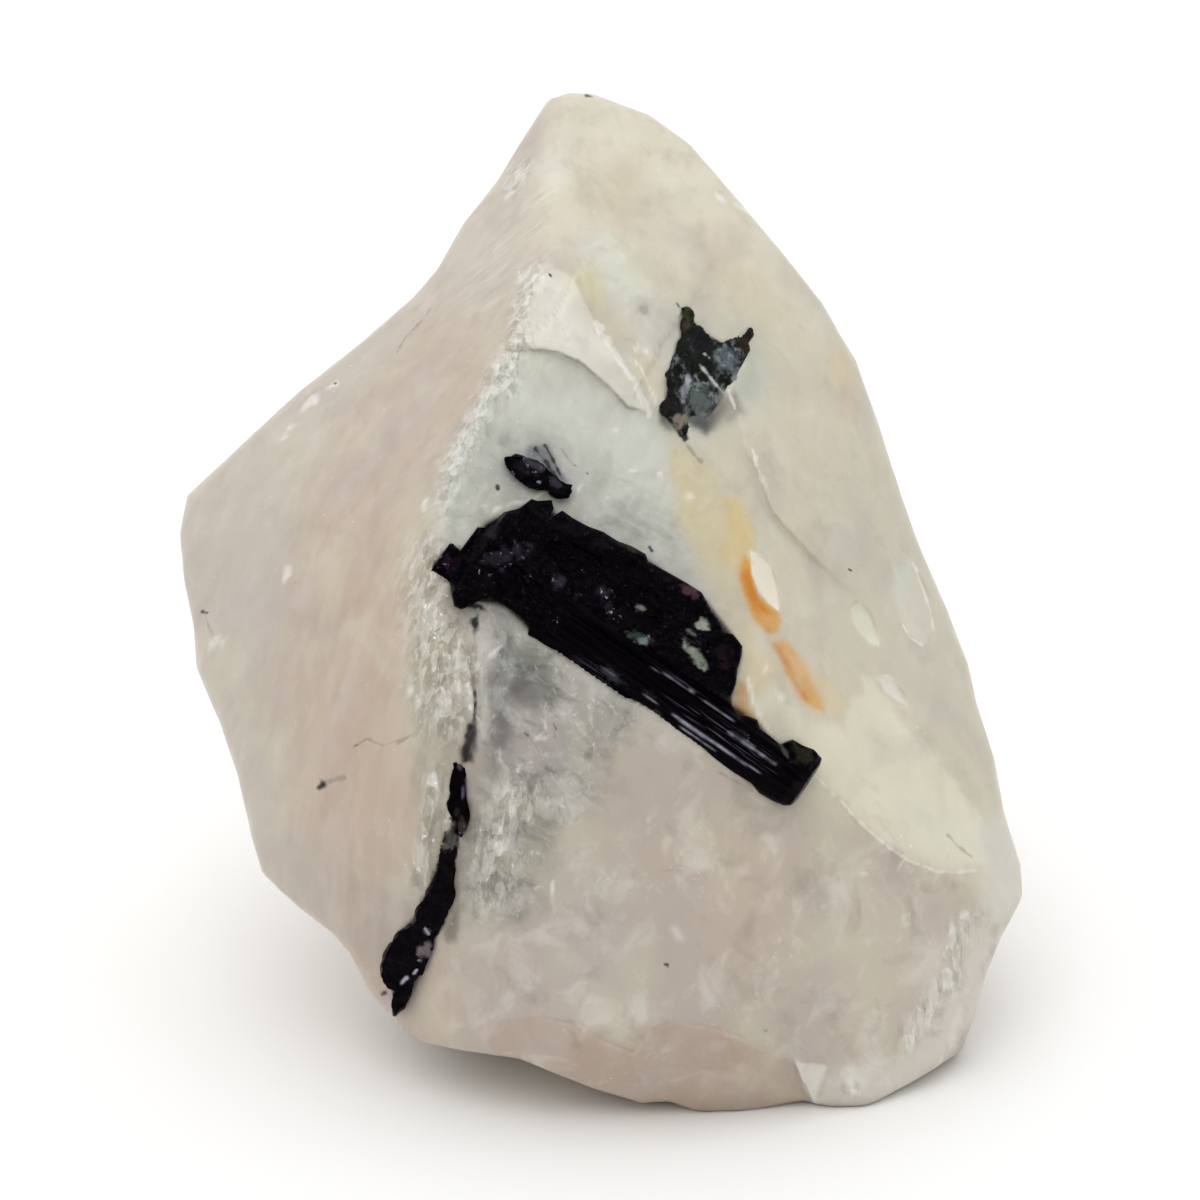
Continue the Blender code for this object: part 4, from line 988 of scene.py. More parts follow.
gloss = add_node(
    tree, "ShaderNodeMapRange", i0=pattern(tree, 1.6, 3, 0.5), i1=0.3, i2=0.7, i3=0.30, i4=0.50,
)
tree.links.new(gloss.outputs[0], shader.inputs["Roughness"])
shader.inputs["IOR"].default_value = 1.54
shader.inputs["Subsurface Weight"].default_value = 0.25
shader.inputs["Subsurface Radius"].default_value = (1.0, 0.8, 0.65)
shader.inputs["Subsurface Scale"].default_value = 1.5 * MM
ripples = add_node(
    tree, "ShaderNodeBump", Strength=0.40, Distance=0.40 * MM,
    Height=pattern(tree, 2.8, 4, 0.52, (1, 1, 1.6), LEANS_RIGHT, 0.4),
)
grit = add_node(
    tree, "ShaderNodeBump", Strength=0.30, Distance=0.08 * MM, Height=pattern(tree, 0.45, 3, 0.6),
    Normal=ripples.outputs[0],
)
flake_rise = add_node(
    tree, "ShaderNodeMath", {"operation": "MULTIPLY"}, i0=masks["crushed"],
    i1=flakes.outputs["Distance"],
)
broken = add_node(
    tree, "ShaderNodeBump", Strength=0.8, Distance=0.30 * MM, Height=flake_rise.outputs[0],
    Normal=grit.outputs[0],
)
tree.links.new(broken.outputs[0], shader.inputs["Normal"])


def add_piece(name, mesh, finish, slot, *nodes):
    """Puts a piece in the scene in place of its CAD nodes."""
    piece = bpy.data.objects.new(name, mesh)
    bpy.context.scene.collection.objects.link(piece)
    mesh.materials.append(finish)
    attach(piece, "root")
    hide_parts(*nodes)
    return piece


add_piece("rose_quartz_lump", quartz_mesh, quartz_finish, "rose_quartz", "rose_quartz")


# The big black crystal
# Schorl, the black iron tourmaline, grown in the quartz and broken open with it. Below is a sound
# prism with ribs along its length; above it the rest of the crystal is a rough broken slab.

CRYSTAL_START = as_seen(500, 602, 11.0)
CRYSTAL_END = as_seen(792, 803, 10.0)
CRYSTAL_LENGTH_STEP = 0.11
CRYSTAL_DEPTH = 6.3
PRISM_WIDTH = 3.5

# The crystal's outline in the photograph's pixels, from its left knob along its upper edge
CRYSTAL_OUTLINE = [
    (433, 566), (434, 558), (442, 551), (448, 546), (457, 545), (464, 552), (470, 552), (476, 543),
    (480, 532), (487, 521), (503, 516), (522, 511), (534, 502), (540, 504), (554, 503), (556, 512),
    (547, 519), (549, 524), (564, 513), (575, 521), (590, 529), (604, 534), (618, 543), (632, 548),
    (646, 556), (648, 563), (668, 574), (684, 583), (700, 593), (706, 604), (710, 612), (718, 622),
    (722, 632), (731, 634), (740, 646), (739, 656), (735, 668), (733, 684), (728, 694), (729, 703),
    (736, 713), (744, 713), (754, 717), (756, 725), (764, 731), (776, 741), (788, 736), (798, 742),
    (809, 746), (817, 755), (816, 769), (809, 771), (806, 780), (802, 786), (792, 801), (780, 801),
    (768, 796), (756, 789), (748, 779), (730, 768), (714, 757), (700, 745), (684, 734), (672, 727),
    (652, 710), (636, 698), (622, 698), (604, 684), (588, 675), (572, 663), (556, 650), (546, 644),
    (530, 634), (531, 626), (521, 615), (508, 606), (492, 598), (480, 602), (476, 605), (465, 609),
    (458, 606), (455, 590), (449, 582), (436, 576),
]

# Paler places on the crystal, some of them quartz grown into it and some painted purple reflections: a
# pixel in the middle, half-sizes in pixels, turn in degrees, colour, strength and how far it is sunk in
# millimetres
CRYSTAL_PATCHES = [
    (694, 654, 7, 15, -36, "#969c8f", 0.97, 0.40),
    (700, 624, 8, 6, 10, "#a9ada3", 0.90, 0.25),
    (689, 632, 9, 2, 34, "#6d7268", 0.80, 0.10),
    (639, 607, 6, 4, 10, "#85867b", 0.90, 0.20),
    (638, 636, 11, 5, 25, "#46524b", 0.80, 0.25),
    (641, 640, 5, 3, 20, "#8fa096", 0.80, 0.10),
    (610, 673, 14, 6, 38, "#35333d", 0.85, 0.12),
    (577, 660, 8, 4, 38, "#211e26", 0.80, 0.10),
    (508, 556, 24, 9, -14, "#2b2630", 0.80, 0.20),
    (495, 533, 9, 8, 0, "#26212a", 0.80, 0.10),
    (456, 566, 8, 9, 0, "#1e0c1c", 0.80, 0.0),
    # Painted purple reflection
    (560, 582, 6, 7, 0, "#33293b", 0.80, 0.0),
    (602, 545, 12, 4, 28, "#17121a", 0.80, 0.0),
    (628, 549, 12, 3, 24, "#34291f", 0.80, 0.0),
    # Painted purple-pink sheen
    (688, 592, 12, 5, 36, "#4c3641", 0.85, 0.0),
    (722, 656, 8, 12, -10, "#1e1219", 0.70, 0.0),
    (798, 751, 14, 9, 30, "#26251a", 0.90, 0.0),
    (780, 748, 2, 9, -30, "#4c4e47", 0.80, 0.0),
    (798, 784, 7, 12, -20, "#150c11", 0.80, 0.0),
    (656, 710, 6, 3, 38, "#2f3120", 0.80, 0.0),
]

# Where the rough part holds grains of quartz and painted glints, and where painted highlights lie on the
# prism's ribs: a pixel in the middle, half-sizes in pixels, turn in degrees and strength
DUST_AND_GLINT_PLACES = [
    (512, 556, 28, 11, -14, 0.60), (448, 563, 9, 9, 0, 0.60), (488, 572, 12, 6, 0, 0.50),
    (560, 582, 7, 9, 0, 0.80), (609, 602, 8, 24, -28, 1.00), (640, 637, 15, 6, 22, 0.80),
    (700, 624, 9, 7, 0, 0.60), (739, 731, 9, 5, 38, 1.00), (648, 691, 9, 5, 35, 0.90),
    # The small places from 666, 655 on are painted glints
    (596, 598, 6, 6, 0, 0.60), (666, 655, 4, 3, 0, 0.90), (577, 597, 5, 5, 0, 1.00),
    (485, 572, 5, 4, 0, 1.00), (523, 557, 4, 4, 0, 1.00), (530, 579, 5, 4, 0, 0.90),
    (504, 571, 4, 3, 0, 1.00), (450, 568, 5, 4, 0, 1.00), (582, 572, 4, 3, 0, 0.90),
    (631, 686, 4, 3, 0, 0.90), (555, 620, 5, 4, 0, 0.70), (640, 580, 5, 4, 0, 0.60),
]
RIB_HIGHLIGHT_PLACES = [
    (716, 730, 62, 13, 34, 0.9), (742, 744, 40, 9, 34, 0.8), (690, 690, 40, 5, 34, 0.7),
    (600, 668, 24, 8, 36, 0.7), (686, 640, 12, 14, 0, 0.5),
]
# Long painted highlights on the prism's ribs: the pixel where each starts, its length in pixels, half
# its width in millimetres and its strength
PRISM_HIGHLIGHTS = [
    (659, 669, 34, 0.10, 0.55), (684, 685, 12, 0.16, 0.90), (694, 693, 46, 0.10, 0.55),
    (669, 710, 92, 0.12, 0.80), (672, 714, 40, 0.08, 0.50), (676, 722, 46, 0.09, 0.60),
    (723, 727, 60, 0.16, 0.85), (728, 727, 30, 0.08, 0.50), (707, 735, 62, 0.09, 0.55),
    (640, 690, 22, 0.08, 0.50), (648, 664, 14, 0.08, 0.35), (600, 664, 20, 0.08, 0.35),
]

along = CRYSTAL_END - CRYSTAL_START
along = along / np.linalg.norm(along)
across = np.array((-along[1], along[0], 0.0))
across = across / np.linalg.norm(across)
outward = np.cross(along, across)


def edges_across(lengths):
    """The outline's lowest and highest place across the crystal, at each place along it."""
    outline = path_as_seen(CRYSTAL_OUTLINE) - CRYSTAL_START[:2]
    flat_along = along[:2] / np.linalg.norm(along[:2])
    corners = np.stack([outline @ flat_along, outline @ across[:2]], axis=1)
    low = np.full(len(lengths), np.inf)
    high = np.full(len(lengths), -np.inf)
    for (x0, y0), (x1, y1) in zip(corners, np.roll(corners, -1, axis=0)):
        share = (lengths - x0) / (x1 - x0 if abs(x1 - x0) > 1e-9 else 1e-9)
        meets = (share >= 0) & (share <= 1)
        up = y0 + share * (y1 - y0)
        low[meets] = np.minimum(low, up)[meets]
        high[meets] = np.maximum(high, up)[meets]
    return low, high


def crystal_height(length, up):
    """How far the crystal's surface stands out, from its crest, at places along and across it."""
    flat = np.stack([length, up, np.zeros_like(length)], axis=1)
    ribbed = flat * np.array((0.03, 1.0, 1.0))
    rib = lumps(ribbed, 0.42, 2) * 0.24 + lumps(ribbed + 7.0, 0.16) * 0.08
    prism = -0.20 * (up - 2.0) ** 2 * np.where(up < 2.0, 0.75, 0.8) + rib
    slab = -0.55 - 0.26 * (up - PRISM_WIDTH) + rib * 0.35
    ledges = lumps(flat * np.array((0.4, 1.0, 1.0)) + 3.0, 1.9)
    slab = slab + 0.30 * np.tanh(ledges * 6.0)
    slab = slab + lumps(flat + 11.0, 1.5, 4) * 0.30 + lumps(flat + 5.0, 0.5, 3) * 0.14
    to_slab = np.clip((up - PRISM_WIDTH + 0.1) / 0.25, 0.0, 1.0)
    broken_left = np.clip((6.5 - length) / 5.0, 0.0, 1.0)
    to_slab = np.maximum(to_slab, broken_left)
    height = prism * (1 - to_slab) + slab * to_slab
    knob = np.clip((-3.3 - length) / 0.6, 0.0, 1.0)
    height = height * (1 - knob) + knob * (-0.6 - 0.2 * (up - 1.0) ** 2 + lumps(flat, 0.8, 3) * 0.4)
    stub = np.clip((length - 24.7) / 0.2, 0.0, 1.0) * np.clip((up - 2.9) / 0.2, 0.0, 1.0)
    height = height * (1 - stub) + stub * (-0.2 - 0.4 * (up - 3.6) ** 2 + lumps(flat, 0.6, 2) * 0.3)
    end = np.clip((length - 26.9) / 1.2, 0.0, 1.0)
    return height - 0.8 * end - 2.0 * np.clip((length - 27.9) / 0.3, 0.0, 1.0)


def crystal_points():
    """Rows of points round the crystal, one row for each step along it."""
    lengths = np.arange(-5.60, 28.26, CRYSTAL_LENGTH_STEP)
    lower, upper = edges_across(lengths)
    known = np.isfinite(lower) & np.isfinite(upper) & (upper - lower > 0.15)
    ups = np.concatenate([np.arange(-3.4, PRISM_WIDTH, 0.075), np.arange(PRISM_WIDTH, 9.9, 0.10)])
    rows = []
    for length, low, high in zip(lengths[known], lower[known], upper[known]):
        clipped = np.clip(ups, low, high)
        height = crystal_height(np.full(len(clipped), length), clipped)
        near_side = np.minimum(clipped - low, high - clipped)
        height = height - 0.40 * np.exp(-near_side / 0.15)
        front = np.stack([np.full(len(clipped), length), clipped, height], axis=1)
        inset = min(0.4, (high - low) * 0.3)
        low_back = (length, low + inset, -CRYSTAL_DEPTH)
        high_back = (length, high - inset, -CRYSTAL_DEPTH)
        rows.append(np.concatenate([[low_back], front, [high_back]]))
    return np.array(rows)


def skin_rows(name, rows):
    """A closed mesh over rows of points that each go once round, with both ends closed."""
    shape = bmesh.new()
    verts = [[shape.verts.new(point) for point in row] for row in rows]
    count = len(verts[0])
    for row, following in zip(verts[:-1], verts[1:]):
        for place in range(count):
            after = (place + 1) % count
            shape.faces.new((row[place], row[after], following[after], following[place]))
    shape.faces.new(verts[0][::-1])
    shape.faces.new(verts[-1])
    bmesh.ops.triangulate(shape, faces=[face for face in shape.faces if len(face.verts) > 4])
    bmesh.ops.remove_doubles(shape, verts=shape.verts[:], dist=0.02)
    bmesh.ops.recalc_face_normals(shape, faces=shape.faces[:])
    mesh = bpy.data.meshes.new(name)
    shape.to_mesh(mesh)
    shape.free()
    return mesh


def mesh_points(mesh):
    points = np.zeros(len(mesh.vertices) * 3)
    mesh.vertices.foreach_get("co", points)
    return points.reshape(-1, 3)


def place_mesh(mesh, seen):
    """Moves a mesh to where its points are seen, given in millimetres."""
    mesh.vertices.foreach_set("co", in_the_frame(seen).ravel())
    mesh.update()


def patch_colours(seen, base, patches):
    """A base colour with soft-edged patches, ragged by noise."""
    colour = np.tile(linear(base), (len(seen), 1))
    for pixel_x, pixel_y, half_x, half_y, turn, tint, strength, _ in patches:
        oval = in_oval(seen[:, :2], pixel_x, pixel_y, half_x, half_y, turn)
        oval = oval + lumps(seen, 0.7, 4) * 0.7
        share = strength * np.clip((1.10 - oval) * 1.8, 0.0, 1.0)
        colour += (linear(tint) - colour) * share[:, None]
    return colour


crystal_mesh = skin_rows("schorl_big_crystal", crystal_points())
local = mesh_points(crystal_mesh)
crystal_seen = (
    CRYSTAL_START + local[:, 0:1] * along + local[:, 1:2] * across + local[:, 2:3] * outward
)
front_share = np.clip((local[:, 2] + 5.0) / 2.0, 0.0, 1.0)
for pixel_x, pixel_y, half_x, half_y, turn, _, _, sunk in CRYSTAL_PATCHES:
    oval = in_oval(crystal_seen[:, :2], pixel_x, pixel_y, half_x, half_y, turn)
    crystal_seen[:, 2] -= sunk * np.clip((1.1 - oval) * 3, 0.0, 1.0) * front_share
place_mesh(crystal_mesh, crystal_seen)
crystal_mesh.shade_smooth()
crystal_flat = crystal_seen[:, :2]


def in_places(flat, places):
    """How strongly each point lies in any of some soft oval places."""
    strongest = np.zeros(len(flat))
    for pixel_x, pixel_y, half_x, half_y, turn, strength in places:
        oval = in_oval(flat, pixel_x, pixel_y, half_x, half_y, turn)
        strongest = np.maximum(strongest, strength * np.clip(1.6 * (1.2 - oval), 0.0, 1.0))
    return strongest


def rib_highlights(flat):
    """Painted highlights: bright lines that run along the ribs, each brighter in some places than in
    others.
    """
    axis = along[:2] / np.linalg.norm(along[:2])
    shine = np.zeros(len(flat))
    for pixel_x, pixel_y, length, half_width, strength in PRISM_HIGHLIGHTS:
        offset = flat - as_seen(pixel_x, pixel_y)[:2]
        lengthwise = offset @ axis
        aside = np.abs(offset @ np.array((-axis[1], axis[0])))
        ends = np.clip(np.minimum(lengthwise, length * PIXEL - lengthwise) / 0.5, 0.0, 1.0)
        shine = np.maximum(shine, strength * ends * np.clip(1.2 - aside / half_width, 0.0, 1.0))
    return shine


on_slab = np.clip((local[:, 1] - PRISM_WIDTH) / 0.4, 0.0, 1.0)
on_slab = np.maximum(on_slab, np.clip((6.5 - local[:, 0]) / 5.0, 0.0, 1.0))
uneven = np.clip(0.65 + 1.1 * lumps(crystal_seen + 4.0, 1.1, 2), 0.15, 1.0)
dust_and_glints = np.maximum(in_places(crystal_flat, DUST_AND_GLINT_PLACES), 0.04 * on_slab)
paint(crystal_mesh, "patch_colour", patch_colours(crystal_seen, "#030004", CRYSTAL_PATCHES))
paint(crystal_mesh, "rough_share", on_slab)
paint(crystal_mesh, "dust_and_glints", dust_and_glints * front_share)
# Where painted highlights lie along the prism's ribs
paint(crystal_mesh, "ribbed", in_places(crystal_flat, RIB_HIGHLIGHT_PLACES) * front_share)
paint(crystal_mesh, "shine", rib_highlights(crystal_flat) * uneven * front_share)

# Schorl: black with a purple cast, sound and glassy on the prism's ribs, where thin painted highlights
# shine, and pitted and dusted with grains of quartz and painted glints where it is broken open
DUST_GRAIN = 0.38
RIB_HIGHLIGHT_LINE = 0.15
schorl_finish, tree, shader = new_finish("black_schorl")
masks = masks_on(tree, ["rough_share", "dust_and_glints", "ribbed", "shine"])
body = add_node(tree, "ShaderNodeAttribute", {"attribute_name": "patch_colour"}).outputs["Color"]
axes = np.stack([along, across, outward]) @ VIEW_AXES
ribs_lie = tuple(Matrix(axes.tolist()).transposed().to_euler())
dust = pattern(tree, DUST_GRAIN, 4, 0.66)
cloudy_dust = pattern(tree, 1.2, 4, 0.65)
body = laid_over(tree, body, "#35303c", 0.60, cloudy_dust, 0.50, 0.70, [masks["dust_and_glints"]])
body = laid_over(tree, body, "#b5b1c4", 0.85, dust, 0.61, 0.68, [masks["dust_and_glints"]])
rib_highlight_lines = pattern(tree, RIB_HIGHLIGHT_LINE, 2, 0.50, (26, 1, 1), ribs_lie)
body = laid_over(tree, body, "#6f6c7b", 0.60, rib_highlight_lines, 0.58, 0.70, [masks["ribbed"]])
body = laid_over(tree, body, "#b7b4c6", 0.85, masks["shine"], 0.0, 1.0)
tree.links.new(body, shader.inputs["Base Color"])
schorl_gloss = add_node(
    tree, "ShaderNodeMapRange", i0=pattern(tree, 0.8, 3, 0.5), i1=0.35, i2=0.70, i3=0.12, i4=0.40,
)
tree.links.new(schorl_gloss.outputs[0], shader.inputs["Roughness"])
shader.inputs["IOR"].default_value = 1.64
shader.inputs["Specular IOR Level"].default_value = 0.02
pits = add_node(
    tree, "ShaderNodeMath", {"operation": "MULTIPLY"}, i0=masks["rough_share"],
    i1=pattern(tree, 0.45, 4, 0.65),
)
pitted = add_node(
    tree, "ShaderNodeBump", Strength=0.8, Distance=0.16 * MM, Height=pits.outputs[0],
)
tree.links.new(pitted.outputs[0], shader.inputs["Normal"])

add_piece("schorl_big_crystal", crystal_mesh, schorl_finish, "black_tourmaline", "schorl_main_crystal")


# The splinter and the two blades
# Broken-off slivers of the same black tourmaline, frozen in the quartz near the big crystal. The
# blades lie one above the other along the crack that runs down the stone's left ridge.

SLIVER_GRAIN = 0.11
SPLINTER_OUTLINE = [
    (506, 468), (507, 462), (511, 458), (518, 457), (527, 460), (536, 463), (543, 467), (549, 472),
    (557, 479), (564, 484), (573, 487), (572, 494), (567, 501), (560, 500), (552, 498), (548, 491),
    (541, 491), (533, 491), (526, 488), (519, 483), (513, 477),
]
LOWER_BLADE_OUTLINE = [
    (446, 838), (453, 839), (460, 841), (459, 862), (458, 890), (451, 904), (444, 920), (442, 926),
    (437, 933), (436, 946), (431, 955), (427, 967), (420, 970), (417, 981), (414, 990), (408, 1001),
    (401, 1004), (397, 1010), (394, 1000), (398, 984), (391, 981), (384, 970), (385, 958),
    (393, 939), (403, 925), (412, 919), (420, 915), (420, 904), (430, 887), (440, 871), (441, 864),
    (443, 848),
]
UPPER_BLADE_OUTLINE = [
    (456, 758), (461, 756), (466, 762), (469, 769), (469, 780), (470, 790), (471, 800), (473, 812),
    (471, 822), (466, 832), (461, 828), (462, 818), (458, 812), (453, 805), (452, 797), (456, 790),
    (455, 776),
]

# How each sliver lies: a pixel on it, its depth there, how far it comes forward for each
# millimetre right and up, its thickness and the height of its roughness, in millimetres
SPLINTER_LIE = (540, 478, 7.6, -0.20, -0.25, 3.0, 0.22)
LOWER_BLADE_LIE = (450, 860, 10.8, 0.20, 0.66, 4.2, 0.18)
UPPER_BLADE_LIE = (461, 785, 11.2, 0.20, 0.10, 2.6, 0.14)

SPLINTER_PATCHES = [
    (536, 467, 12, 5, 28, "#4a4651", 0.75, 0.0),
    (524, 472, 8, 6, 25, "#1f161f", 0.60, 0.0),
    (556, 484, 8, 4, 40, "#3d3840", 0.70, 0.0),
]
LOWER_BLADE_PATCHES = [
    (429, 943, 6, 9, 30, "#6e6265", 0.95, 0.0),
    (431, 924, 4, 3, 0, "#5d555c", 0.70, 0.0),
    (415, 913, 3, 4, 30, "#6f6a5a", 0.80, 0.0),
    (452, 838, 8, 5, 0, "#5d5c58", 0.80, 0.0),
]
UPPER_BLADE_PATCHES = [
    # The lilac strip at 467, 786 is a painted sheen
    (464, 762, 2, 4, -20, "#4b4650", 0.80, 0.0), (467, 786, 2, 9, 0, "#575062", 0.80, 0.0),
    (460, 806, 3, 4, 0, "#2b2522", 0.70, 0.0), (467, 822, 5, 9, 0, "#3a3630", 0.85, 0.0),
]
SPLINTER_GLINTS = [([(514, 475), (515, 477)], 0.07), ([(538, 484), (541, 485)], 0.08)]
LOWER_BLADE_GLINTS = [
    ([(405, 977), (409, 972)], 0.11), ([(418, 966), (420, 963)], 0.09),
    ([(429, 921), (433, 927)], 0.07), ([(422, 953), (424, 954)], 0.09),
]
UPPER_BLADE_GLINTS = []
SPLINTER_DUST = [(534, 470, 14, 7, 28, 0.7), (556, 485, 8, 5, 30, 0.5)]
LOWER_BLADE_DUST = [(429, 943, 6, 9, 30, 0.5), (452, 838, 8, 5, 0, 0.8)]
UPPER_BLADE_DUST = [(466, 820, 5, 9, 0, 0.6)]


def outline_slab(outline, thickness):
    """A flat solid with an outline as seen, in millimetres, with its front at depth 0."""
    curve = bpy.data.curves.new("outline", "CURVE")
    curve.dimensions = "2D"
    curve.fill_mode = "BOTH"
    curve.extrude = thickness / 2
    spline = curve.splines.new("POLY")
    spline.points.add(len(outline) - 1)
    for point, (x, y) in zip(spline.points, path_as_seen(outline)):
        point.co = (x, y, 0, 1)
    spline.use_cyclic_u = True
    return curve


def evaluated(thing):
    bpy.context.view_layer.update()
    graph = bpy.context.evaluated_depsgraph_get()
    return bpy.data.meshes.new_from_object(thing.evaluated_get(graph))


def rough_sliver(name, outline, lie, size=SLIVER_GRAIN):
    """A sliver of crystal in small even faces, ribbed along its length and rough where broken."""
    pixel_x, pixel_y, depth, slope_right, slope_up, thickness, roughness = lie
    holder = bpy.data.objects.new("outline", outline_slab(outline, thickness))
    bpy.context.scene.collection.objects.link(holder)
    plain = evaluated(holder)
    bpy.data.objects.remove(holder)
    blank = bpy.data.objects.new(name, plain)
    bpy.context.scene.collection.objects.link(blank)
    weld = blank.modifiers.new("weld", "WELD")
    weld.merge_threshold = 0.0001
    grid = blank.modifiers.new("even faces", "REMESH")
    grid.mode = "VOXEL"
    grid.voxel_size = size
    mesh = evaluated(blank)
    bpy.data.objects.remove(blank)
    mesh.name = name
    seen = mesh_points(mesh)
    normals = np.zeros(len(mesh.vertices) * 3)
    mesh.vertex_normals.foreach_get("vector", normals)
    normals = normals.reshape(-1, 3)
    outline_run = path_as_seen(outline)
    lengthwise = np.linalg.svd(outline_run - outline_run.mean(axis=0))[2][0]
    crosswise = np.array((-lengthwise[1], lengthwise[0]))
    up_length = (seen[:, :2] @ lengthwise)[:, None] * 0.06
    ribbed = np.concatenate([up_length, (seen[:, :2] @ crosswise)[:, None], seen[:, 2:] * 0.2], axis=1)
    push = lumps(ribbed, 0.45, 2) * 0.18 + lumps(seen, 1.1, 3) * roughness
    push -= np.where(normals[:, 2] > 0.3, 0.0, 0.02)
    seen = seen + normals * push[:, None]
    rise = (seen[:, :2] - as_seen(pixel_x, pixel_y)[:2]) @ np.array((slope_right, slope_up))
    seen[:, 2] += rise + depth - thickness / 2
    place_mesh(mesh, seen)
    mesh.shade_smooth()
    return mesh, seen


SLIVERS = [
    ("schorl_sliver", "schorl_splinter", SPLINTER_OUTLINE, SPLINTER_LIE, SPLINTER_PATCHES,
     SPLINTER_GLINTS, SPLINTER_DUST),
    ("schorl_blade_low", "schorl_lower_blade", LOWER_BLADE_OUTLINE, LOWER_BLADE_LIE,
     LOWER_BLADE_PATCHES, LOWER_BLADE_GLINTS, LOWER_BLADE_DUST),
    ("schorl_blade_high", "schorl_upper_blade", UPPER_BLADE_OUTLINE, UPPER_BLADE_LIE,
     UPPER_BLADE_PATCHES, UPPER_BLADE_GLINTS, UPPER_BLADE_DUST),
]
for name, node, outline, lie, patches, glints, dusty_places in SLIVERS:
    sliver, seen = rough_sliver(name, outline, lie)
    paint(sliver, "patch_colour", patch_colours(seen, "#030004", patches))
    paint(sliver, "rough_share", np.ones(len(seen)))
    paint(sliver, "dust_and_glints", in_places(seen[:, :2], dusty_places))
    paint(sliver, "shine", line_mark(seen[:, :2], glints))
    add_piece(name, sliver, schorl_finish, "black_tourmaline", node)


# The plate under the milky veil
# A thin broken plate of dark green-black tourmaline high on the right. A film of milky, bluish
# quartz still covers parts of it, and its horns are thin enough to show olive and brown.

PLATE_OUTLINE = [
    (681, 312), (686, 311), (693, 316), (692, 325), (700, 331), (707, 337), (712, 343), (724, 346),
    (729, 340), (736, 338), (738, 333), (742, 337), (749, 330), (751, 337), (748, 344), (749, 351),
    (746, 357), (745, 364), (742, 373), (734, 382), (731, 395), (722, 408), (715, 424), (706, 430),
    (692, 424), (684, 438), (674, 426), (664, 420), (658, 411), (663, 404), (668, 392), (666, 376),
    (668, 369), (675, 350), (679, 340), (680, 322),
]
PLATE_LIE = (705, 365, 0.6, -0.73, -0.34, 3.0, 0.25)
PLATE_PATCHES = [
    (686, 317, 7, 7, 0, "#2c3a17", 0.90, 0.0),
    (685, 330, 6, 7, -10, "#40352e", 0.80, 0.0),
    (694, 344, 14, 10, 30, "#1a1920", 0.85, 0.0),
    (676, 372, 8, 16, 20, "#0c140e", 0.85, 0.0),
    (743, 346, 8, 14, 10, "#2a1d10", 0.90, 0.0),
    (726, 362, 14, 17, 10, "#5b656a", 0.95, 0.0),
    (735, 382, 8, 12, 10, "#8b9291", 0.85, 0.0),
    (700, 402, 21, 20, 10, "#59625f", 0.95, 0.0),
    (683, 395, 5, 15, 10, "#90909b", 0.90, 0.0),
    (686, 382, 4, 5, 0, "#b8b9c4", 0.75, 0.0),
    (706, 374, 5, 20, 45, "#0d120e", 0.85, 0.0),
    (722, 398, 8, 12, 30, "#8c8d86", 0.85, 0.0),
    (702, 421, 16, 7, 0, "#6f776d", 0.90, 0.0),
    (664, 406, 9, 7, 0, "#1a0908", 0.90, 0.0),
    (676, 426, 9, 10, 30, "#857b70", 0.90, 0.0),
]
# Painted glints along the plate: the pixels of each line and half its width in millimetres
PLATE_GLINT_LINES = [
    ([(698, 368), (706, 377), (716, 389), (725, 399)], 0.09), ([(703, 357), (708, 361)], 0.07),
]
PLATE_DUST = [
    (698, 398, 22, 24, 15, 0.9), (728, 360, 15, 20, -10, 0.9), (680, 366, 10, 26, 15, 0.5),
]

plate_mesh, plate_seen = rough_sliver("schorl_plate_veiled", PLATE_OUTLINE, PLATE_LIE)
paint(plate_mesh, "patch_colour", patch_colours(plate_seen, "#0e130e", PLATE_PATCHES))

paint(plate_mesh, "dust_and_glints", in_places(plate_seen[:, :2], PLATE_DUST))
paint(plate_mesh, "shine", line_mark(plate_seen[:, :2], PLATE_GLINT_LINES))

# Schorl under a film of milky quartz: green-black, with a cloudy blue-grey veil in crisp flecks
veiled_finish, tree, shader = new_finish("schorl_under_milky_quartz")
masks = masks_on(tree, ["dust_and_glints", "shine"])
dust_and_glints = masks["dust_and_glints"]
body = add_node(tree, "ShaderNodeAttribute", {"attribute_name": "patch_colour"}).outputs["Color"]
body = laid_over(tree, body, "#12181a", 0.75, pattern(tree, 1.3, 5, 0.66), 0.50, 0.64, [dust_and_glints])
body = laid_over(tree, body, "#b9c0c2", 0.55, pattern(tree, 0.8, 5, 0.66), 0.54, 0.66, [dust_and_glints])
# Painted glints along the plate
body = laid_over(tree, body, "#d7dadb", 0.75, masks["shine"], 0.0, 1.0)
tree.links.new(body, shader.inputs["Base Color"])
veil_gloss = add_node(
    tree, "ShaderNodeMapRange", i0=pattern(tree, 0.8, 3, 0.5), i1=0.35, i2=0.70, i3=0.18, i4=0.45,
)
tree.links.new(veil_gloss.outputs[0], shader.inputs["Roughness"])
shader.inputs["IOR"].default_value = 1.6
shader.inputs["Specular IOR Level"].default_value = 0.06
veil_pits = add_node(
    tree, "ShaderNodeBump", Strength=0.6, Distance=0.14 * MM, Height=pattern(tree, 0.5, 4, 0.65),
)
tree.links.new(veil_pits.outputs[0], shader.inputs["Normal"])

add_piece("schorl_plate_veiled", plate_mesh, veiled_finish, "veiled_tourmaline", "schorl_plate")


# Floor, light and camera
# The stone stands on a plain white studio floor under one large soft light from in front, above and a
# little to the left, and a sky that is brightest above, and is seen from in front and a little above.

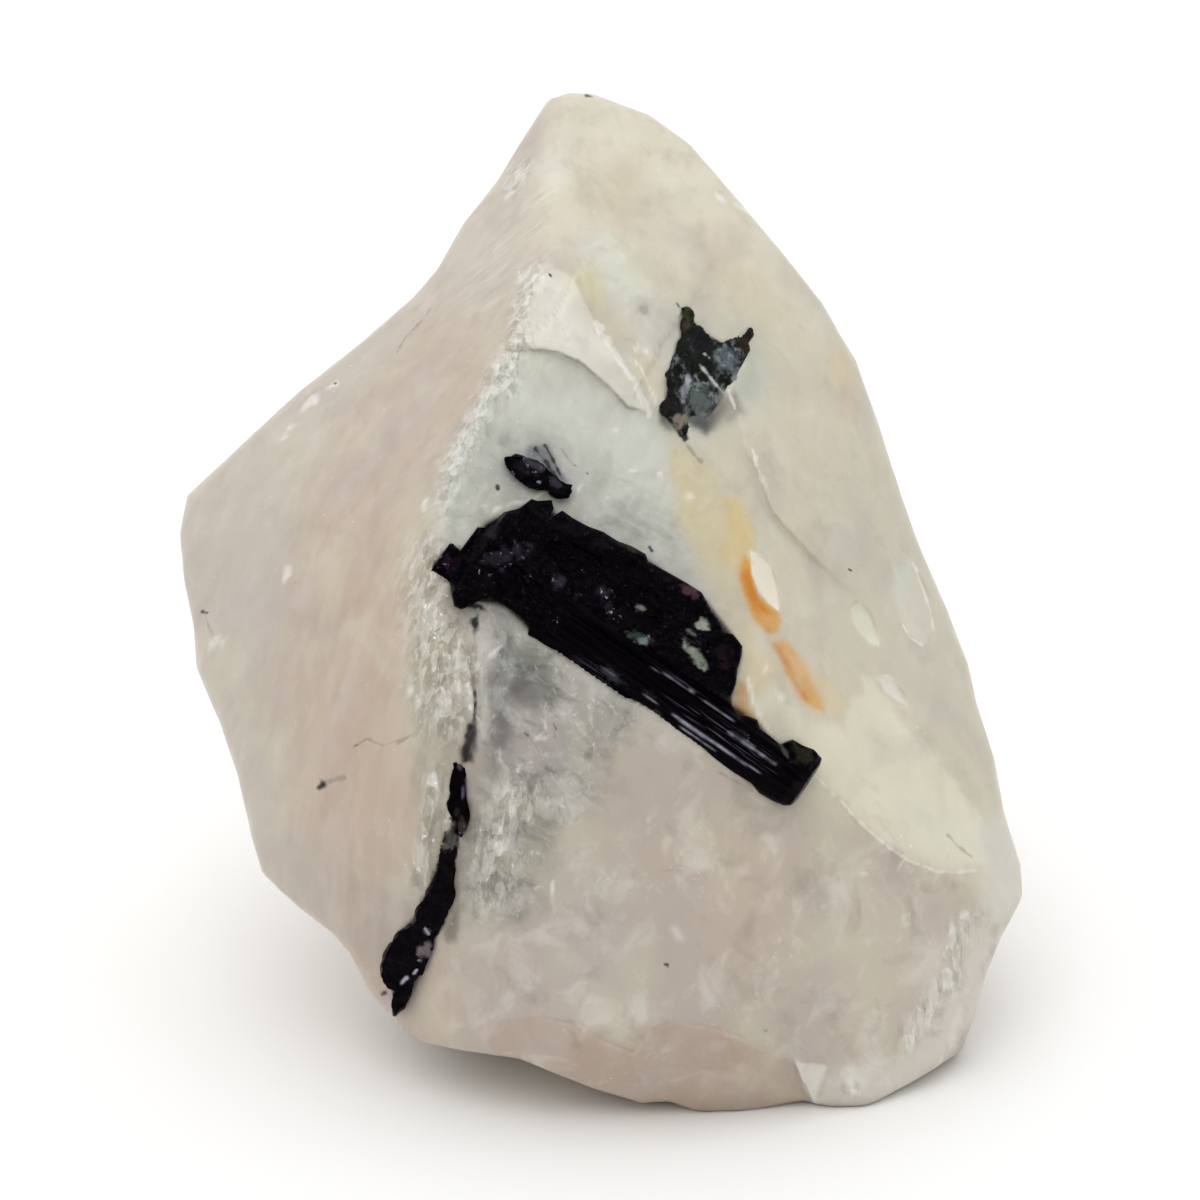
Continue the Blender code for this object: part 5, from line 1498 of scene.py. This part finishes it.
bpy.ops.mesh.primitive_plane_add(size=6.0)
floor = bpy.context.object
floor.name = "studio_floor"
floor_finish, tree, shader = new_finish("white_studio_floor")
shader.inputs["Base Color"].default_value = solid("#fbfbfa")
shader.inputs["Roughness"].default_value = 0.9
floor.data.materials.append(floor_finish)

LIGHT_COMES_FROM = (-0.15, 0.35, 0.92)
DIM_SIDE = 0.18
BRIGHT_SIDE = 1.30

studio = bpy.data.worlds.new("white_studio")
studio.use_nodes = True
tree = studio.node_tree
sky = tree.nodes["Background"]
sky.inputs["Color"].default_value = (1.0, 1.0, 1.0, 1.0)
heading = add_node(tree, "ShaderNodeTexCoord").outputs["Generated"]
overhead = add_node(
    tree, "ShaderNodeVectorMath", {"operation": "DOT_PRODUCT"}, i0=heading, i1=LIGHT_COMES_FROM,
).outputs["Value"]
brightness = add_node(
    tree, "ShaderNodeMapRange", i0=overhead, i1=-0.35, i2=0.9, i3=DIM_SIDE, i4=BRIGHT_SIDE,
)
tree.links.new(brightness.outputs[0], sky.inputs["Strength"])
bpy.context.scene.world = studio
bpy.context.scene.view_settings.view_transform = "Standard"


def add_light(name, place, size, power):
    """A square soft light that points at the middle of the stone."""
    lamp = bpy.data.lights.new(name, "AREA")
    lamp.size = size
    lamp.energy = power
    holder = bpy.data.objects.new(name, lamp)
    bpy.context.scene.collection.objects.link(holder)
    holder.location = place
    aim = Vector((0, 0, 0.035)) - Vector(place)
    holder.rotation_euler = aim.to_track_quat("-Z", "Y").to_euler()


add_light("key_light", (-0.10, -0.50, 0.80), 0.50, 1.2)

CAMERA_LENS = 250.0
SENSOR_WIDTH = 36.0
RIM_DEPTH = -8.0
PHOTO_SIZE = 1200.0
lens = bpy.data.cameras.new("photo_camera")
lens.lens = CAMERA_LENS
lens.sensor_width = SENSOR_WIDTH
lens.sensor_fit = "HORIZONTAL"
lens.clip_start = 0.01
camera = bpy.data.objects.new("photo_camera", lens)
bpy.context.scene.collection.objects.link(camera)
stand_off = PHOTO_SIZE * PIXEL * CAMERA_LENS / SENSOR_WIDTH
eye = as_seen(PHOTO_SIZE / 2, PHOTO_SIZE / 2, RIM_DEPTH + stand_off)
turn = Matrix([Vector(axis) for axis in VIEW_AXES]).transposed().to_4x4()
camera.matrix_world = Matrix.Translation(Vector(in_the_frame(eye))) @ turn
bpy.context.scene.camera = camera
